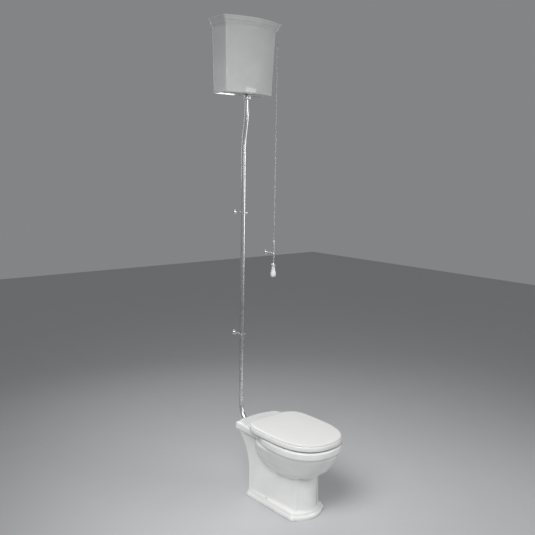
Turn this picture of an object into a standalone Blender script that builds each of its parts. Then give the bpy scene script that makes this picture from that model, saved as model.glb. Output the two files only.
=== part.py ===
"""High-level toilet: a pedestal pan with a seat and a wrap-over lid, and a wall cistern with a long
flush pipe and a pull chain.

+Z is up, +Y points to the wall and +X to the right of someone who faces the wall. The origin is on
the floor, under the middle of the back edge of the pan's foot.
"""
import math

import bmesh
import bpy
from mathutils import Matrix, Vector

GAP = 0.0003  # clearance between pieces that touch

# Room planes
WALL_Y = 0.297

# Pan: rim and shelf
RIM_Z = 0.408
RIM_HALF_WIDTH = 0.187
RIM_FRONT_Y = -0.518
RIM_WIDE_Y = -0.300  # where the rim's front curve starts
SHELF_HALF_WIDTH = 0.150
SHELF_CORNER_Y = 0.084
SHELF_BOW = 0.020
SHELF_TOP_Z = 0.4135
LEDGE_Y = -0.004
CHINA = 0.011  # wall thickness of the glazed china

# Pan: foot and pedestal
FOOT_HALF_WIDTH = 0.1255
FOOT_FRONT_HALF_WIDTH = 0.1185
FOOT_BACK_Y = 0.010
FOOT_CORNER_Y = -0.366
FOOT_BOW = 0.043
FOOT_WALL = 0.014
PEDESTAL_HALF_WIDTH = 0.1145
PEDESTAL_FRONT_HALF_WIDTH = 0.082
PEDESTAL_CORNER_Y = -0.360
PEDESTAL_BOW = 0.034
FLARE = 0.029  # how far each side spreads to the shelf
FIXING_Y = -0.1513
FIXING_Z = 0.0385
FIXING_FACE_X = 0.1085

# Trap and flush inlet of the pan
TRAP_BORE = 0.034
TRAP_OUTSIDE = 0.044
OUTLET_Y = -0.062
OUTLET_END_Z = 0.030
HORN_Z = 0.345
HORN_END_Y = 0.088
HORN_BORE = 0.024
HORN_OUTSIDE = 0.034

# Seat and lid
SEAT_BOTTOM_Z = RIM_Z + 0.0055
SEAT_THICKNESS = 0.0175
LID_UNDERSIDE_Z = 0.4390
LID_TOP_Z = 0.4470
LID_SKIRT_Z = 0.4140
LID_BACK_Y = -0.031
HINGE_Y = -0.018
HINGE_Z = 0.424
HINGE_X = 0.068
HINGE_PIN_RADIUS = 0.003
BARREL_RADIUS = 0.007

# Cistern
CISTERN_BOTTOM_Z = 2.197
CORNICE_Z = 2.534
CISTERN_RIM_Z = 2.5575
LID_BASE_Z = CISTERN_RIM_Z + GAP
CISTERN_TOP_Z = 2.584
CISTERN_WALL = 0.009

# Flush pipe
PIPE_RADIUS = 0.013
PIPE_BORE = 0.0115
PIPE_Y = 0.2235
TAIL_Y = 0.199
PIPE_TOP_Z = 2.170
PIPE_BEND_RADIUS = 0.100
CLIP_HEIGHTS = {"upper": 1.553, "lower": 0.855}

# Flush lever, chain and pull
LEVER_Y = 0.224
LEVER_Z = 2.483
PIVOT_X = 0.147
CHAIN_X = 0.231
LIFT_X = 0.060
LEVER_SWING = math.radians(18)
CHAIN_RADIUS = 0.003
PULL_TRAVEL = (CHAIN_X - PIVOT_X) * math.sin(LEVER_SWING)
ROD_TOP_Z = 1.388
ROD_END_Z = 1.236
HANDLE_END_Z = 1.169
GUIDE_Z = 1.310

# Float valve
VALVE_Y = 0.264
VALVE_Z = 2.455
FLOAT_PIVOT_X = 0.085
FLOAT_REACH = 0.190
FLOAT_DROOP = math.radians(33)
FLOAT_RADIUS = 0.038


SIDES = ((-1, "left"), (1, "right"))


# ---------------------------------------------------------------- materials and objects

def clear_scene():
    for obj in list(bpy.data.objects):
        bpy.data.objects.remove(obj, do_unlink=True)


def material(name, colour, roughness, metallic=0.0):
    finish = bpy.data.materials.new(name)
    finish.use_nodes = True
    shader = finish.node_tree.nodes["Principled BSDF"]
    shader.inputs["Base Color"].default_value = (*colour, 1.0)
    shader.inputs["Roughness"].default_value = roughness
    shader.inputs["Metallic"].default_value = metallic
    return finish


def add_object(name, mesh, finish):
    mesh.materials.append(finish)
    mesh.shade_smooth()
    mesh.set_sharp_from_angle(angle=math.radians(35))
    obj = bpy.data.objects.new(name, mesh)
    bpy.context.scene.collection.objects.link(obj)
    return obj


def finish_mesh(bm, name, finish):
    bmesh.ops.recalc_face_normals(bm, faces=bm.faces)
    mesh = bpy.data.meshes.new(name)
    bm.to_mesh(mesh)
    bm.free()
    return add_object(name, mesh, finish)


def as_cutter(obj):
    obj.hide_render = True
    obj.display_type = "WIRE"
    return obj


def boolean(obj, other, operation):
    modifier = obj.modifiers.new(other.name, "BOOLEAN")
    modifier.operation = operation
    modifier.object = as_cutter(other)
    return obj


def cut(obj, *cutters):
    for cutter in cutters:
        boolean(obj, cutter, "DIFFERENCE")
    return obj


def join(obj, *others):
    for other in others:
        boolean(obj, other, "UNION")
    return obj


# ---------------------------------------------------------------- shapes

def loft(name, rings, finish, closed=False):
    """A solid through rings of equal point count, capped at both ends or closed on itself."""
    bm = bmesh.new()
    rows = [[bm.verts.new(point) for point in ring] for ring in rings]
    count = len(rows[0])
    pairs = list(zip(rows, rows[1:]))
    if closed:
        pairs.append((rows[-1], rows[0]))
    for lower, upper in pairs:
        for i in range(count):
            j = (i + 1) % count
            bm.faces.new((lower[i], lower[j], upper[j], upper[i]))
    if not closed:
        bm.faces.new(rows[0])
        bm.faces.new(rows[-1])
    return finish_mesh(bm, name, finish)


def turned(name, profile, place, finish, axis=(0, 0, 1), sides=14):
    """A solid turned about an axis through place. The profile is a list of (radius, along)."""
    turn = Vector((0, 0, 1)).rotation_difference(Vector(axis)).to_matrix()
    rings = []
    for radius, along in profile:
        ring = []
        for i in range(sides):
            angle = 2 * math.pi * i / sides
            offset = Vector((radius * math.cos(angle), radius * math.sin(angle), along))
            ring.append(Vector(place) + turn @ offset)
        rings.append(ring)
    return loft(name, rings, finish)


def collar(name, inner, outer, start, end, place, finish, axis=(0, 0, 1), sides=14):
    """A plain ring or short pipe round an axis."""
    profile = [(inner, start), (outer, start), (outer, end), (inner, end)]
    turn = Vector((0, 0, 1)).rotation_difference(Vector(axis)).to_matrix()
    rings = []
    for i in range(sides):
        angle = 2 * math.pi * i / sides
        ring = []
        for radius, along in profile:
            offset = Vector((radius * math.cos(angle), radius * math.sin(angle), along))
            ring.append(Vector(place) + turn @ offset)
        rings.append(ring)
    return loft(name, rings, finish, closed=True)


def hexagon(name, across, start, end, place, finish, axis=(0, 0, 1)):
    radius = across / math.sqrt(3)
    return turned(name, [(radius, start), (radius, end)], place, finish, axis, sides=6)


def block(name, low, high, finish):
    bm = bmesh.new()
    bmesh.ops.create_cube(bm, size=1.0)
    low, high = Vector(low), Vector(high)
    size = Matrix.Diagonal((high - low).to_4d())
    bmesh.ops.transform(bm, matrix=Matrix.Translation((low + high) / 2) @ size, verts=bm.verts)
    return finish_mesh(bm, name, finish)


def frames_along(path):
    """A point and two cross directions for each point of a path that stays in a plane."""
    tangents = []
    for i, point in enumerate(path):
        before, after = path[max(i - 1, 0)], path[min(i + 1, len(path) - 1)]
        tangents.append((Vector(after) - Vector(before)).normalized())
    side = tangents[0].orthogonal().normalized()
    frames = []
    for point, tangent in zip(path, tangents):
        side = (side - tangent * side.dot(tangent)).normalized()
        frames.append((Vector(point), side, tangent.cross(side)))
    return frames


def swept(name, path, radii, finish, sides=16):
    """A round bar along a path, with one radius for each point of it."""
    rings = []
    for (point, side, other), radius in zip(frames_along(path), radii):
        angles = [2 * math.pi * i / sides for i in range(sides)]
        rings.append([point + radius * (math.cos(a) * side + math.sin(a) * other) for a in angles])
    return loft(name, rings, finish)


def pipe(name, path, outer, bore, finish, sides=16):
    """A hollow pipe along a path: the outside out, and the bore back again."""
    rings = []
    for point, side, other in frames_along(path):
        angles = [2 * math.pi * i / sides for i in range(sides)]
        rings.append([(point, math.cos(a) * side + math.sin(a) * other) for a in angles])
    outside = [[p + outer * d for p, d in ring] for ring in rings]
    inside = [[p + bore * d for p, d in reversed_ring] for reversed_ring in reversed(rings)]
    return loft(name, outside + inside, finish, closed=True)


def arc(centre, start, end, steps):
    """Points about centre, from the start arm turned to the end arm, both of one length."""
    centre, start, end = Vector(centre), Vector(start), Vector(end)
    angle = start.angle(end)
    axis = start.cross(end)
    return [centre + Matrix.Rotation(angle * i / steps, 3, axis) @ start for i in range(steps + 1)]


def wire_loop(name, place, width, height, radius, finish):
    """A closed wire link in the YZ plane: two straight legs joined by half circles."""
    bend = width / 2
    points = []
    for side, start in ((1, 0.0), (-1, math.pi)):
        for i in range(6):
            angle = start + math.pi * i / 5
            rise = bend * math.sin(angle) + side * (height / 2 - bend)
            points.append(Vector(place) + Vector((0, bend * math.cos(angle), rise)))
    rings = []
    for i, point in enumerate(points):
        along = (points[(i + 1) % len(points)] - points[i - 1]).normalized()
        across = Vector((1, 0, 0))
        other = along.cross(across)
        angles = [2 * math.pi * k / 6 for k in range(6)]
        rings.append([point + radius * (math.cos(a) * across + math.sin(a) * other) for a in angles])
    return loft(name, rings, finish, closed=True)


# ---------------------------------------------------------------- outlines

def power(value, exponent):
    return math.copysign(abs(value) ** exponent, value)


def egg(half_width, front_y, back_y, wide_y, z, front_power=2.2, back_power=2.6, count=32):
    """An oval whose front and back halves are superellipses that meet at wide_y."""
    points = []
    for i in range(count):
        angle = 2 * math.pi * (i + 0.5) / count
        ahead = math.sin(angle) < 0
        bend = 2 / (front_power if ahead else back_power)
        reach = (wide_y - front_y) if ahead else (back_y - wide_y)
        x = half_width * power(math.cos(angle), bend)
        points.append(Vector((x, wide_y + reach * power(math.sin(angle), bend), z)))
    return points


def bowed_box(half_width, back_y, corner_y, bow, radius, z, front_half=None, steps=3, bow_steps=6):
    """A plan with a straight back, straight sides, round corners and a front that bows out."""
    points = []
    back, front = half_width - radius, (front_half or half_width) - radius
    corners = ((back, back_y - radius, 0), (-back, back_y - radius, 90), (-front, corner_y + radius, 180))
    for x, y, start in corners:
        for i in range(steps + 1):
            angle = math.radians(start + 90 * i / steps)
            points.append(Vector((x + radius * math.cos(angle), y + radius * math.sin(angle), z)))
    for i in range(1, bow_steps):
        x = front * (2 * i / bow_steps - 1)
        points.append(Vector((x, corner_y - bow * (1 - (x / front) ** 2), z)))
    for i in range(steps + 1):
        angle = math.radians(270 + 90 * i / steps)
        y = corner_y + radius + radius * math.sin(angle)
        points.append(Vector((front + radius * math.cos(angle), y, z)))
    return points


# ---------------------------------------------------------------- pan

def back_line(z):
    """The pedestal's back edge leans towards the wall as it rises to the shelf."""
    rise = max(0.0, (z - 0.10) / (0.375 - 0.10))
    return 0.006 + 0.071 * rise ** 2.3


def foot_ring(z, grow=0.0, back_y=FOOT_BACK_Y):
    return bowed_box(FOOT_HALF_WIDTH + grow, back_y, FOOT_CORNER_Y - grow, FOOT_BOW, 0.010, z,
                     FOOT_FRONT_HALF_WIDTH + grow)


def pedestal_ring(z, spread=0.0, grow=0.0):
    return bowed_box(PEDESTAL_HALF_WIDTH + spread + grow, back_line(z) + grow, PEDESTAL_CORNER_Y - grow,
                     PEDESTAL_BOW, 0.013 + grow / 2, z, PEDESTAL_FRONT_HALF_WIDTH + spread + grow)


def pedestal(finish):
    """The box-shaped stand: a stepped foot, a waist, and a flare out to the shelf."""
    foot = [foot_ring(z, grow, FOOT_BACK_Y + grow * 0.4)
            for z, grow in ((0.0, 0.0), (0.016, 0.0), (0.022, -0.0035), (0.0235, -0.006), (0.029, -0.0065),
                            (0.036, -0.0095))]
    waist = [pedestal_ring(z, 0.0, grow) for z, grow in ((0.0425, 0.0015), (0.050, 0.0))]
    flare = []
    for z in (0.15, 0.20, 0.25, 0.29, 0.33, 0.378):
        flare.append(pedestal_ring(z, max(0.0, (z - 0.19) / 0.188) ** 2.2 * FLARE))
    return loft("pan", foot + waist + flare, finish)


def shelf(finish):
    """The slab behind the seat: a bowed back edge rounded over, a cove below, and a raised ledge."""
    rings = []
    for z, grow in ((0.367, -0.014), (0.373, -0.005), (0.381, 0.0), (0.403, 0.0), (0.4105, -0.003),
                    (SHELF_TOP_Z, -0.009)):
        ring = bowed_box(SHELF_HALF_WIDTH + grow, 0.150, -SHELF_CORNER_Y - grow, SHELF_BOW, 0.011, z)
        rings.append([Vector((p.x, -p.y, p.z)) for p in ring])
    slab = loft("pan_shelf", rings, finish)
    landing = block("seat_landing", (-0.200, -0.200, RIM_Z), (0.200, LEDGE_Y, SHELF_TOP_Z + 0.010), finish)
    return cut(slab, landing)


def rim_ring(inset, z):
    return egg(RIM_HALF_WIDTH - inset, RIM_FRONT_Y + inset, -0.060 - inset, RIM_WIDE_Y, z, 2.3)


def bowl_outside(finish):
    """The rim band, the step below it and the rounded underside of the bowl."""
    rings = [rim_ring(inset, z) for inset, z in (
        (0.008, RIM_Z), (0.0025, 0.4065), (0.0, 0.402), (0.0, 0.374), (0.009, 0.363))]
    rings += [egg(half_width, front, back, wide, z, 2.2, 3.4) for z, half_width, front, back, wide in (
        (0.350, 0.1755, -0.5060, -0.040, -0.296),
        (0.325, 0.1655, -0.4935, -0.035, -0.290),
        (0.300, 0.1555, -0.4805, -0.030, -0.284),
        (0.275, 0.1445, -0.4660, -0.030, -0.278),
        (0.255, 0.1320, -0.4480, -0.038, -0.270),
        (0.240, 0.1215, -0.4240, -0.056, -0.255),
        (0.225, 0.1115, -0.3970, -0.080, -0.242),
        (0.210, 0.0985, -0.3660, -0.110, -0.232),
        (0.195, 0.0700, -0.3100, -0.150, -0.226))]
    return loft("bowl_outside", rings, finish)


def bowl_inside(finish):
    """The open bowl: under the rim's lip it widens into the flushing channel, then narrows."""
    lip = 0.056
    rings = [rim_ring(inset, z) for inset, z in (
        (lip - 0.003, RIM_Z + 0.010), (lip - 0.003, RIM_Z - 0.002), (lip, RIM_Z - 0.007), (lip, 0.369),
        (lip - 0.008, 0.368), (lip - 0.010, 0.392), (0.022, 0.390), (0.027, 0.366))]
    rings += [egg(half_width, front, back, wide, z) for z, half_width, front, back, wide in (
        (0.345, 0.1570, -0.4870, -0.104, -0.297),
        (0.295, 0.1410, -0.4640, -0.124, -0.293),
        (0.245, 0.1110, -0.4180, -0.166, -0.286),
        (0.220, 0.0920, -0.3800, -0.192, -0.280),
        (0.190, 0.0710, -0.3600, -0.214, -0.280),
        (0.155, 0.0540, -0.3440, -0.226, -0.282),
        (0.125, 0.0450, -0.3240, -0.232, -0.278),
        (0.112, 0.0300, -0.3040, -0.246, -0.274))]
    return loft("bowl_inside", rings, finish)


def bowl_shell(finish):
    """What the hollow stand leaves round the bowl: its inside, grown by the china's thickness."""
    rings = [egg(half_width + CHINA, front - CHINA, back + CHINA, wide, z)
             for z, half_width, front, back, wide in (
        (0.400, 0.1600, -0.4900, -0.098, -0.297),
        (0.345, 0.1560, -0.4840, -0.102, -0.297),
        (0.295, 0.1440, -0.4680, -0.120, -0.293),
        (0.245, 0.1190, -0.4350, -0.160, -0.289),
        (0.190, 0.0760, -0.3800, -0.212, -0.285),
        (0.155, 0.0560, -0.3500, -0.224, -0.282),
        (0.112, 0.0460, -0.3250, -0.230, -0.278),
        (0.102, 0.0380, -0.3150, -0.238, -0.276))]
    return loft("bowl_shell", rings, finish)


def trap_path():
    """From the bowl's sump up over the weir and down to the outlet in the floor."""
    rise = [Vector((0, -0.285, 0.146)), Vector((0, -0.240, 0.150)), Vector((0, -0.205, 0.166)),
            Vector((0, -0.178, 0.198))]
    weir = Vector((0, -0.114, 0.214))
    over = [weir + 0.052 * Vector((0, math.cos(a), math.sin(a)))
            for a in (math.radians(d) for d in (150, 120, 90, 60, 30, 0))]
    return rise + over + [Vector((0, OUTLET_Y, 0.150))]


def trap(name, radius, end_z, finish):
    path = trap_path() + [Vector((0, OUTLET_Y, end_z))]
    return swept(name, path, [radius] * len(path), finish, sides=16)


def stand_hollow(finish):
    """The space inside the stand, open to the floor, around the bowl, the trap and the inlet."""
    rings = [foot_ring(z, -CHINA - 0.002, FOOT_BACK_Y - FOOT_WALL) for z in (-0.010, 0.008)]
    rings += [pedestal_ring(z, spread, -CHINA) for z, spread in (
        (0.030, 0.0), (0.23, 0.0), (0.30, 0.007), (0.345, 0.016), (0.364, 0.020))]
    hollow = loft("stand_hollow", rings, finish)
    horn = turned("inlet_shell", [(HORN_OUTSIDE, 0.0), (HORN_OUTSIDE, 0.150)],
                  (0, -0.060, HORN_Z), finish, axis=(0, 1, 0), sides=18)
    return cut(hollow, bowl_shell(finish), trap("trap_shell", TRAP_OUTSIDE, OUTLET_END_Z, finish), horn)


def inlet_bore(finish):
    """The socket for the flush cone, and the duct from it up into the rim's channel."""
    socket = [Vector((0, HORN_END_Y + 0.010, HORN_Z)), Vector((0, 0.030, HORN_Z))]
    duct = [Vector((0, 0.018, HORN_Z)), Vector((0, -0.030, HORN_Z + 0.012)),
            Vector((0, -0.085, HORN_Z + 0.042))]
    radii = [HORN_BORE, HORN_BORE, 0.014, 0.013, 0.013]
    return swept("inlet_bore", socket + duct, radii, finish, sides=20)


def pan(finish):
    body = pedestal(finish)
    join(body, shelf(finish), bowl_outside(finish))
    boss = [(HORN_OUTSIDE, 0.0), (HORN_OUTSIDE, 0.060), (HORN_OUTSIDE - 0.003, 0.064)]
    join(body, turned("inlet_boss", boss, (0, HORN_END_Y - 0.064, HORN_Z), finish, axis=(0, 1, 0), sides=20))
    cut(body, stand_hollow(finish), bowl_inside(finish))
    cut(body, trap("trap_bore", TRAP_BORE, OUTLET_END_Z - 0.010, finish), inlet_bore(finish))
    for side, name in SIDES:
        cut(body, turned(f"fixing_hole_{name}", [(0.0045, -0.026), (0.0045, 0.02)],
                         (side * FIXING_FACE_X, FIXING_Y, FIXING_Z), finish, axis=(1, 0, 0)))
        cut(body, turned(f"hinge_hole_{name}", [(0.007, -0.06), (0.007, 0.02)],
                         (side * HINGE_X, HINGE_Y, RIM_Z), finish))
    return body


# ---------------------------------------------------------------- seat and lid

def lid_outline(inset, z):
    return egg(0.1845 - inset, -0.5140 + inset, LID_BACK_Y - inset, -0.270, z, 2.4, 5.0)


def seat_outline(inset, z):
    return egg(0.1755 - inset, -0.5050 + inset, -0.041 - inset, -0.270, z, 2.4, 5.0)


def seat_ring(finish):
    """The seat: an oval ring with rounded edges, and two barrels for the hinge pins."""
    low, high = SEAT_BOTTOM_Z, SEAT_BOTTOM_Z + SEAT_THICKNESS
    rings = [seat_outline(inset, z) for inset, z in (
        (0.003, low), (0.0, low + 0.004), (0.0, high - 0.006), (0.006, high))]
    rings += [egg(0.112 + grow, -0.448 - grow, -0.128 + grow, -0.270, z, 2.1, 2.4) for grow, z in (
        (0.010, high - 0.0015), (0.0, high - 0.008), (0.0, low + 0.004), (0.003, low))]
    ring = loft("seat_ring", rings, finish, closed=True)
    for side, name in SIDES:
        x = side * (HINGE_X + 0.0130)
        join(ring, block(f"seat_lug_{name}", (x - 0.006, -0.050, HINGE_Z - 0.006),
                         (x + 0.006, HINGE_Y - 0.002, HINGE_Z + 0.004), finish),
             hinge_barrel(f"seat_barrel_{name}", x, 0.006, finish))
        cut(ring, pin_bore(f"seat_bore_{name}", x, finish))
    return ring


def hinge_barrel(name, x, half_length, finish):
    return turned(name, [(BARREL_RADIUS, -half_length), (BARREL_RADIUS, half_length)],
                  (x, HINGE_Y, HINGE_Z), finish, axis=(1, 0, 0), sides=14)


def pin_bore(name, x, finish):
    bore = HINGE_PIN_RADIUS + 0.00035
    return turned(name, [(bore, -0.020), (bore, 0.020)], (x, HINGE_Y, HINGE_Z), finish,
                  axis=(1, 0, 0), sides=14)


def seat_lid(finish):
    """The lid: a gently crowned plate whose skirt wraps over the seat, hollow underneath."""
    skirt, under = 0.0045, LID_UNDERSIDE_Z
    rings = [lid_outline(inset, z) for inset, z in (
        (0.130, under), (skirt + 0.002, under), (skirt, under - 0.002), (skirt, LID_SKIRT_Z),
        (0.001, LID_SKIRT_Z), (0.0, LID_SKIRT_Z + 0.0015), (0.0, LID_TOP_Z - 0.0080),
        (0.0015, LID_TOP_Z - 0.0045), (0.0048, LID_TOP_Z - 0.0030), (0.0058, LID_TOP_Z - 0.0040),
        (0.0068, LID_TOP_Z - 0.0030), (0.0085, LID_TOP_Z - 0.0008), (0.0130, LID_TOP_Z),
        (0.060, LID_TOP_Z + 0.0015), (0.120, LID_TOP_Z + 0.0025))]
    lid = loft("seat_lid", rings, finish)
    notch_half = HINGE_X + 0.026
    cut(lid, block("lid_notch", (-notch_half, -0.0405, LID_SKIRT_Z - 0.005),
                   (notch_half, 0.0, under), finish))
    for side, name in SIDES:
        x = side * (HINGE_X - 0.0125)
        join(lid, block(f"lid_lug_{name}", (x - 0.0055, -0.0395, HINGE_Z + 0.004),
                        (x + 0.0055, HINGE_Y - 0.001, LID_UNDERSIDE_Z + 0.0015), finish),
             hinge_barrel(f"lid_barrel_{name}", x, 0.0055, finish))
        cut(lid, pin_bore(f"lid_bore_{name}", x, finish))
    return lid


def buffers(name, places, low, high, finish):
    """A set of rubber stops, each a low round button."""
    profile = [(0.0070, 0.0), (0.0070, high - low - 0.001), (0.0060, high - low)]
    for position, (x, y) in places.items():
        turned(f"{name}_{position}", profile, (x, y, low), finish, sides=16)


def hinges(china, plastic, steel, rubber):
    for side, name in SIDES:
        x = side * HINGE_X
        foot = [(0.0125, 0.0), (0.0125, 0.002), (0.0075, 0.0045), (0.0055, 0.010)]
        post = turned(f"hinge_post_{name}", foot, (x, HINGE_Y, RIM_Z + 0.0016), plastic, sides=18)
        join(post, hinge_barrel(f"post_barrel_{name}", x, 0.0060, plastic))
        cut(post, pin_bore(f"post_bore_{name}", x, plastic))
        pin = [(HINGE_PIN_RADIUS, -0.0190), (HINGE_PIN_RADIUS, 0.0190), (0.0045, 0.0194), (0.0045, 0.0214)]
        turned(f"hinge_pin_{name}", pin, (x, HINGE_Y, HINGE_Z), steel, axis=(side, 0, 0), sides=16)
        collar(f"hinge_washer_{name}", 0.0040, 0.0140, GAP, 0.0013, (x, HINGE_Y, RIM_Z), rubber)
        turned(f"seat_bolt_{name}", [(0.0030, -0.055), (0.0030, 0.0), (0.0034, 0.0013)],
               (x, HINGE_Y, RIM_Z), steel, sides=16)
        collar(f"seat_nut_{name}", 0.0033, 0.0130, -0.052, -0.044, (x, HINGE_Y, RIM_Z), plastic)


# ---------------------------------------------------------------- cistern

def cistern_outline(half_width, side_depth, bow, grow, z, radius=0.008):
    """The cistern's plan: flat against the wall, with a bowed front."""
    back = WALL_Y if grow >= 0 else WALL_Y + grow
    return bowed_box(half_width + grow, back, WALL_Y - side_depth - grow, bow, radius + max(0.0, grow) / 3, z)


def taper(z):
    """Half width and side depth of the cistern's outside at height z."""
    share = (z - CISTERN_BOTTOM_Z) / (CORNICE_Z - CISTERN_BOTTOM_Z)
    return 0.156 + 0.013 * share, 0.119 + 0.009 * share


def body_ring(z, grow):
    half_width, depth = taper(z)
    return cistern_outline(half_width, depth, 0.036, grow, z)


def cistern_body(finish):
    floor_z = CISTERN_BOTTOM_Z + 0.010
    rings = [body_ring(z, -CISTERN_WALL) for z in (floor_z, 2.34, 2.48)]
    rings += [body_ring(CISTERN_RIM_Z - 0.001, -CISTERN_WALL + 0.002)]
    rings += [body_ring(z, grow) for z, grow in (
        (CISTERN_RIM_Z, -CISTERN_WALL + 0.004), (CISTERN_RIM_Z, 0.0140), (2.5560, 0.0155), (2.5520, 0.0150),
        (2.5460, 0.0090), (2.5410, 0.0035), (CORNICE_Z, 0.0), (2.47, 0.0), (2.36, 0.0), (2.26, 0.0),
        (CISTERN_BOTTOM_Z + 0.004, 0.0), (CISTERN_BOTTOM_Z, -0.004))]
    body = loft("cistern_body", rings, finish)
    cut(body, turned("tail_hole", [(0.0155, -0.02), (0.0155, 0.02)], (0, TAIL_Y, CISTERN_BOTTOM_Z + 0.005),
                     finish, sides=18))
    cut(body, turned("valve_hole", [(0.0078, 0.12), (0.0078, 0.20)], (0, VALVE_Y, VALVE_Z), finish,
                     axis=(1, 0, 0), sides=14))
    cut(body, block("lever_slot", (0.130, LEVER_Y - 0.004, LEVER_Z - 0.015),
                    (0.190, LEVER_Y + 0.004, LEVER_Z + 0.007), finish))
    for side, name in SIDES:
        cut(body, turned(f"wall_hole_{name}", [(0.004, -0.03), (0.004, 0.02)], (side * 0.100, WALL_Y, 2.510),
                         finish, axis=(0, 1, 0)))
    return body


def lid_ring(z, grow):
    half_width, depth = taper(CORNICE_Z)
    return cistern_outline(half_width, depth, 0.038, grow, z)


def cistern_lid(finish):
    """The lid carries the cornice's upper moulding and is hollow underneath."""
    base = LID_BASE_Z
    rings = [lid_ring(z, grow) for z, grow in (
        (base + 0.011, -0.030), (base + 0.011, -0.016), (base - 0.007, -0.013), (base - 0.007, -0.0092),
        (base, -0.0086), (base, 0.0145), (base + 0.002, 0.0170), (base + 0.007, 0.0190),
        (base + 0.012, 0.0235), (base + 0.015, 0.0270), (base + 0.0200, 0.0285), (base + 0.0225, 0.0265),
        (CISTERN_TOP_Z - 0.0012, 0.0200), (CISTERN_TOP_Z, -0.020))]
    return loft("cistern_lid", rings, finish)


def siphon(plastic, rubber, brass):
    """The siphon: a chamber that the pull lifts water from, a crest, and a tail through the floor."""
    floor_z = CISTERN_BOTTOM_Z + 0.010
    chamber_low, chamber_top = floor_z + 0.012, 2.330
    chamber = [(0.036, chamber_low), (0.033, chamber_low + 0.012), (0.033, chamber_top - 0.012),
               (0.026, chamber_top), (0.012, chamber_top + 0.006)]
    body = turned("siphon_body", chamber, (LIFT_X, LEVER_Y, 0), plastic, sides=18)
    crest = arc(((LIFT_X) / 2, (LEVER_Y + TAIL_Y) / 2, 2.362), (LIFT_X / 2, (LEVER_Y - TAIL_Y) / 2, 0),
                (0, 0, 0.0325), 5)
    crest += arc(((LIFT_X) / 2, (LEVER_Y + TAIL_Y) / 2, 2.362), (0, 0, 0.0325),
                 (-LIFT_X / 2, (TAIL_Y - LEVER_Y) / 2, 0), 5)[1:]
    down = [Vector((0, TAIL_Y, 2.30)), Vector((0, TAIL_Y, floor_z + 0.022))]
    run = [Vector((LIFT_X, LEVER_Y, 2.325))] + crest + down
    bore = [Vector((LIFT_X, LEVER_Y, 2.300))] + run[1:-1] + [Vector((0, TAIL_Y, 2.15))]
    join(body, swept("siphon_run", run, [0.0165] * len(run), plastic, sides=14))
    join(body, turned("siphon_tail", [(0.0145, PIPE_TOP_Z + 0.004), (0.0145, floor_z + 0.0014),
                                      (0.0240, floor_z + 0.0015), (0.0240, floor_z + 0.0240)],
                      (0, TAIL_Y, 0), plastic, sides=18))
    cut(body, turned("chamber_bore", [(0.030, chamber_low - 0.01), (0.030, chamber_top - 0.010),
                                      (0.014, chamber_top)], (LIFT_X, LEVER_Y, 0), plastic, sides=18))
    cut(body, swept("siphon_bore", bore, [0.0130] * len(bore), plastic, sides=14))
    cut(body, turned("rod_hole", [(0.0045, 2.36), (0.0045, 2.42)], (LIFT_X, LEVER_Y, 0), plastic))
    plate_z = chamber_low + 0.006
    rod = turned("siphon_rod", [(0.0030, plate_z), (0.0030, LEVER_Z - 0.036)], (LIFT_X, LEVER_Y, 0), brass)
    join(rod, eye_plate("rod_eye", LIFT_X, LEVER_Z - 0.040, 0.0075, 0.0028, brass))
    cut(rod, eye_bore("rod_eye_bore", LIFT_X, LEVER_Z - 0.040, 0.0042, brass))
    lift = (LIFT_X, LEVER_Y, 0)
    collar("siphon_plunger", 0.0033, 0.0280, plate_z - 0.0005, plate_z + 0.0025, lift, plastic)
    collar("siphon_diaphragm", 0.0033, 0.0290, plate_z + 0.0029, plate_z + 0.0035, lift, rubber)
    wire_loop("siphon_link", (LIFT_X + 0.0021, LEVER_Y, LEVER_Z - 0.020), 0.0125, 0.0440, 0.0012, brass)
    collar("siphon_washer", 0.0150, 0.0230, floor_z + GAP, floor_z + 0.0012, (0, TAIL_Y, 0), rubber, sides=18)


def eye_plate(name, x, z, radius, thickness, finish):
    return turned(name, [(radius, -thickness / 2), (radius, thickness / 2)], (x, LEVER_Y, z), finish,
                  axis=(0, 1, 0), sides=20)


def eye_bore(name, x, z, radius, finish):
    return turned(name, [(radius, -0.01), (radius, 0.01)], (x, LEVER_Y, z), finish, axis=(0, 1, 0))


def tail_fittings(chrome, rubber):
    """The back nut that holds the siphon, and the coupling nut of the flush pipe."""
    low = CISTERN_BOTTOM_Z
    collar("tail_washer", 0.0150, 0.0215, -0.0020, -GAP, (0, TAIL_Y, low), rubber, sides=18)
    nut = hexagon("tail_back_nut", 0.0380, -0.0085, -0.0023, (0, TAIL_Y, low), chrome, axis=(0, 0, 1))
    cut(nut, turned("back_nut_bore", [(0.0149, -0.02), (0.0149, 0.0)], (0, TAIL_Y, low), chrome, sides=18))
    outside = [(0.0170, -0.030), (0.0195, -0.027), (0.0195, -0.0115), (0.0180, -0.0090)]
    union = turned("pipe_union_nut", outside, (0, TAIL_Y, low), chrome, sides=12)
    bore = [(0.0134, -0.04), (0.0134, -0.0265), (0.0150, -0.0263), (0.0150, 0.0)]
    cut(union, turned("union_nut_bore", bore, (0, TAIL_Y, low), chrome, sides=18))


# ---------------------------------------------------------------- flush pipe and its clips

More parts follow.
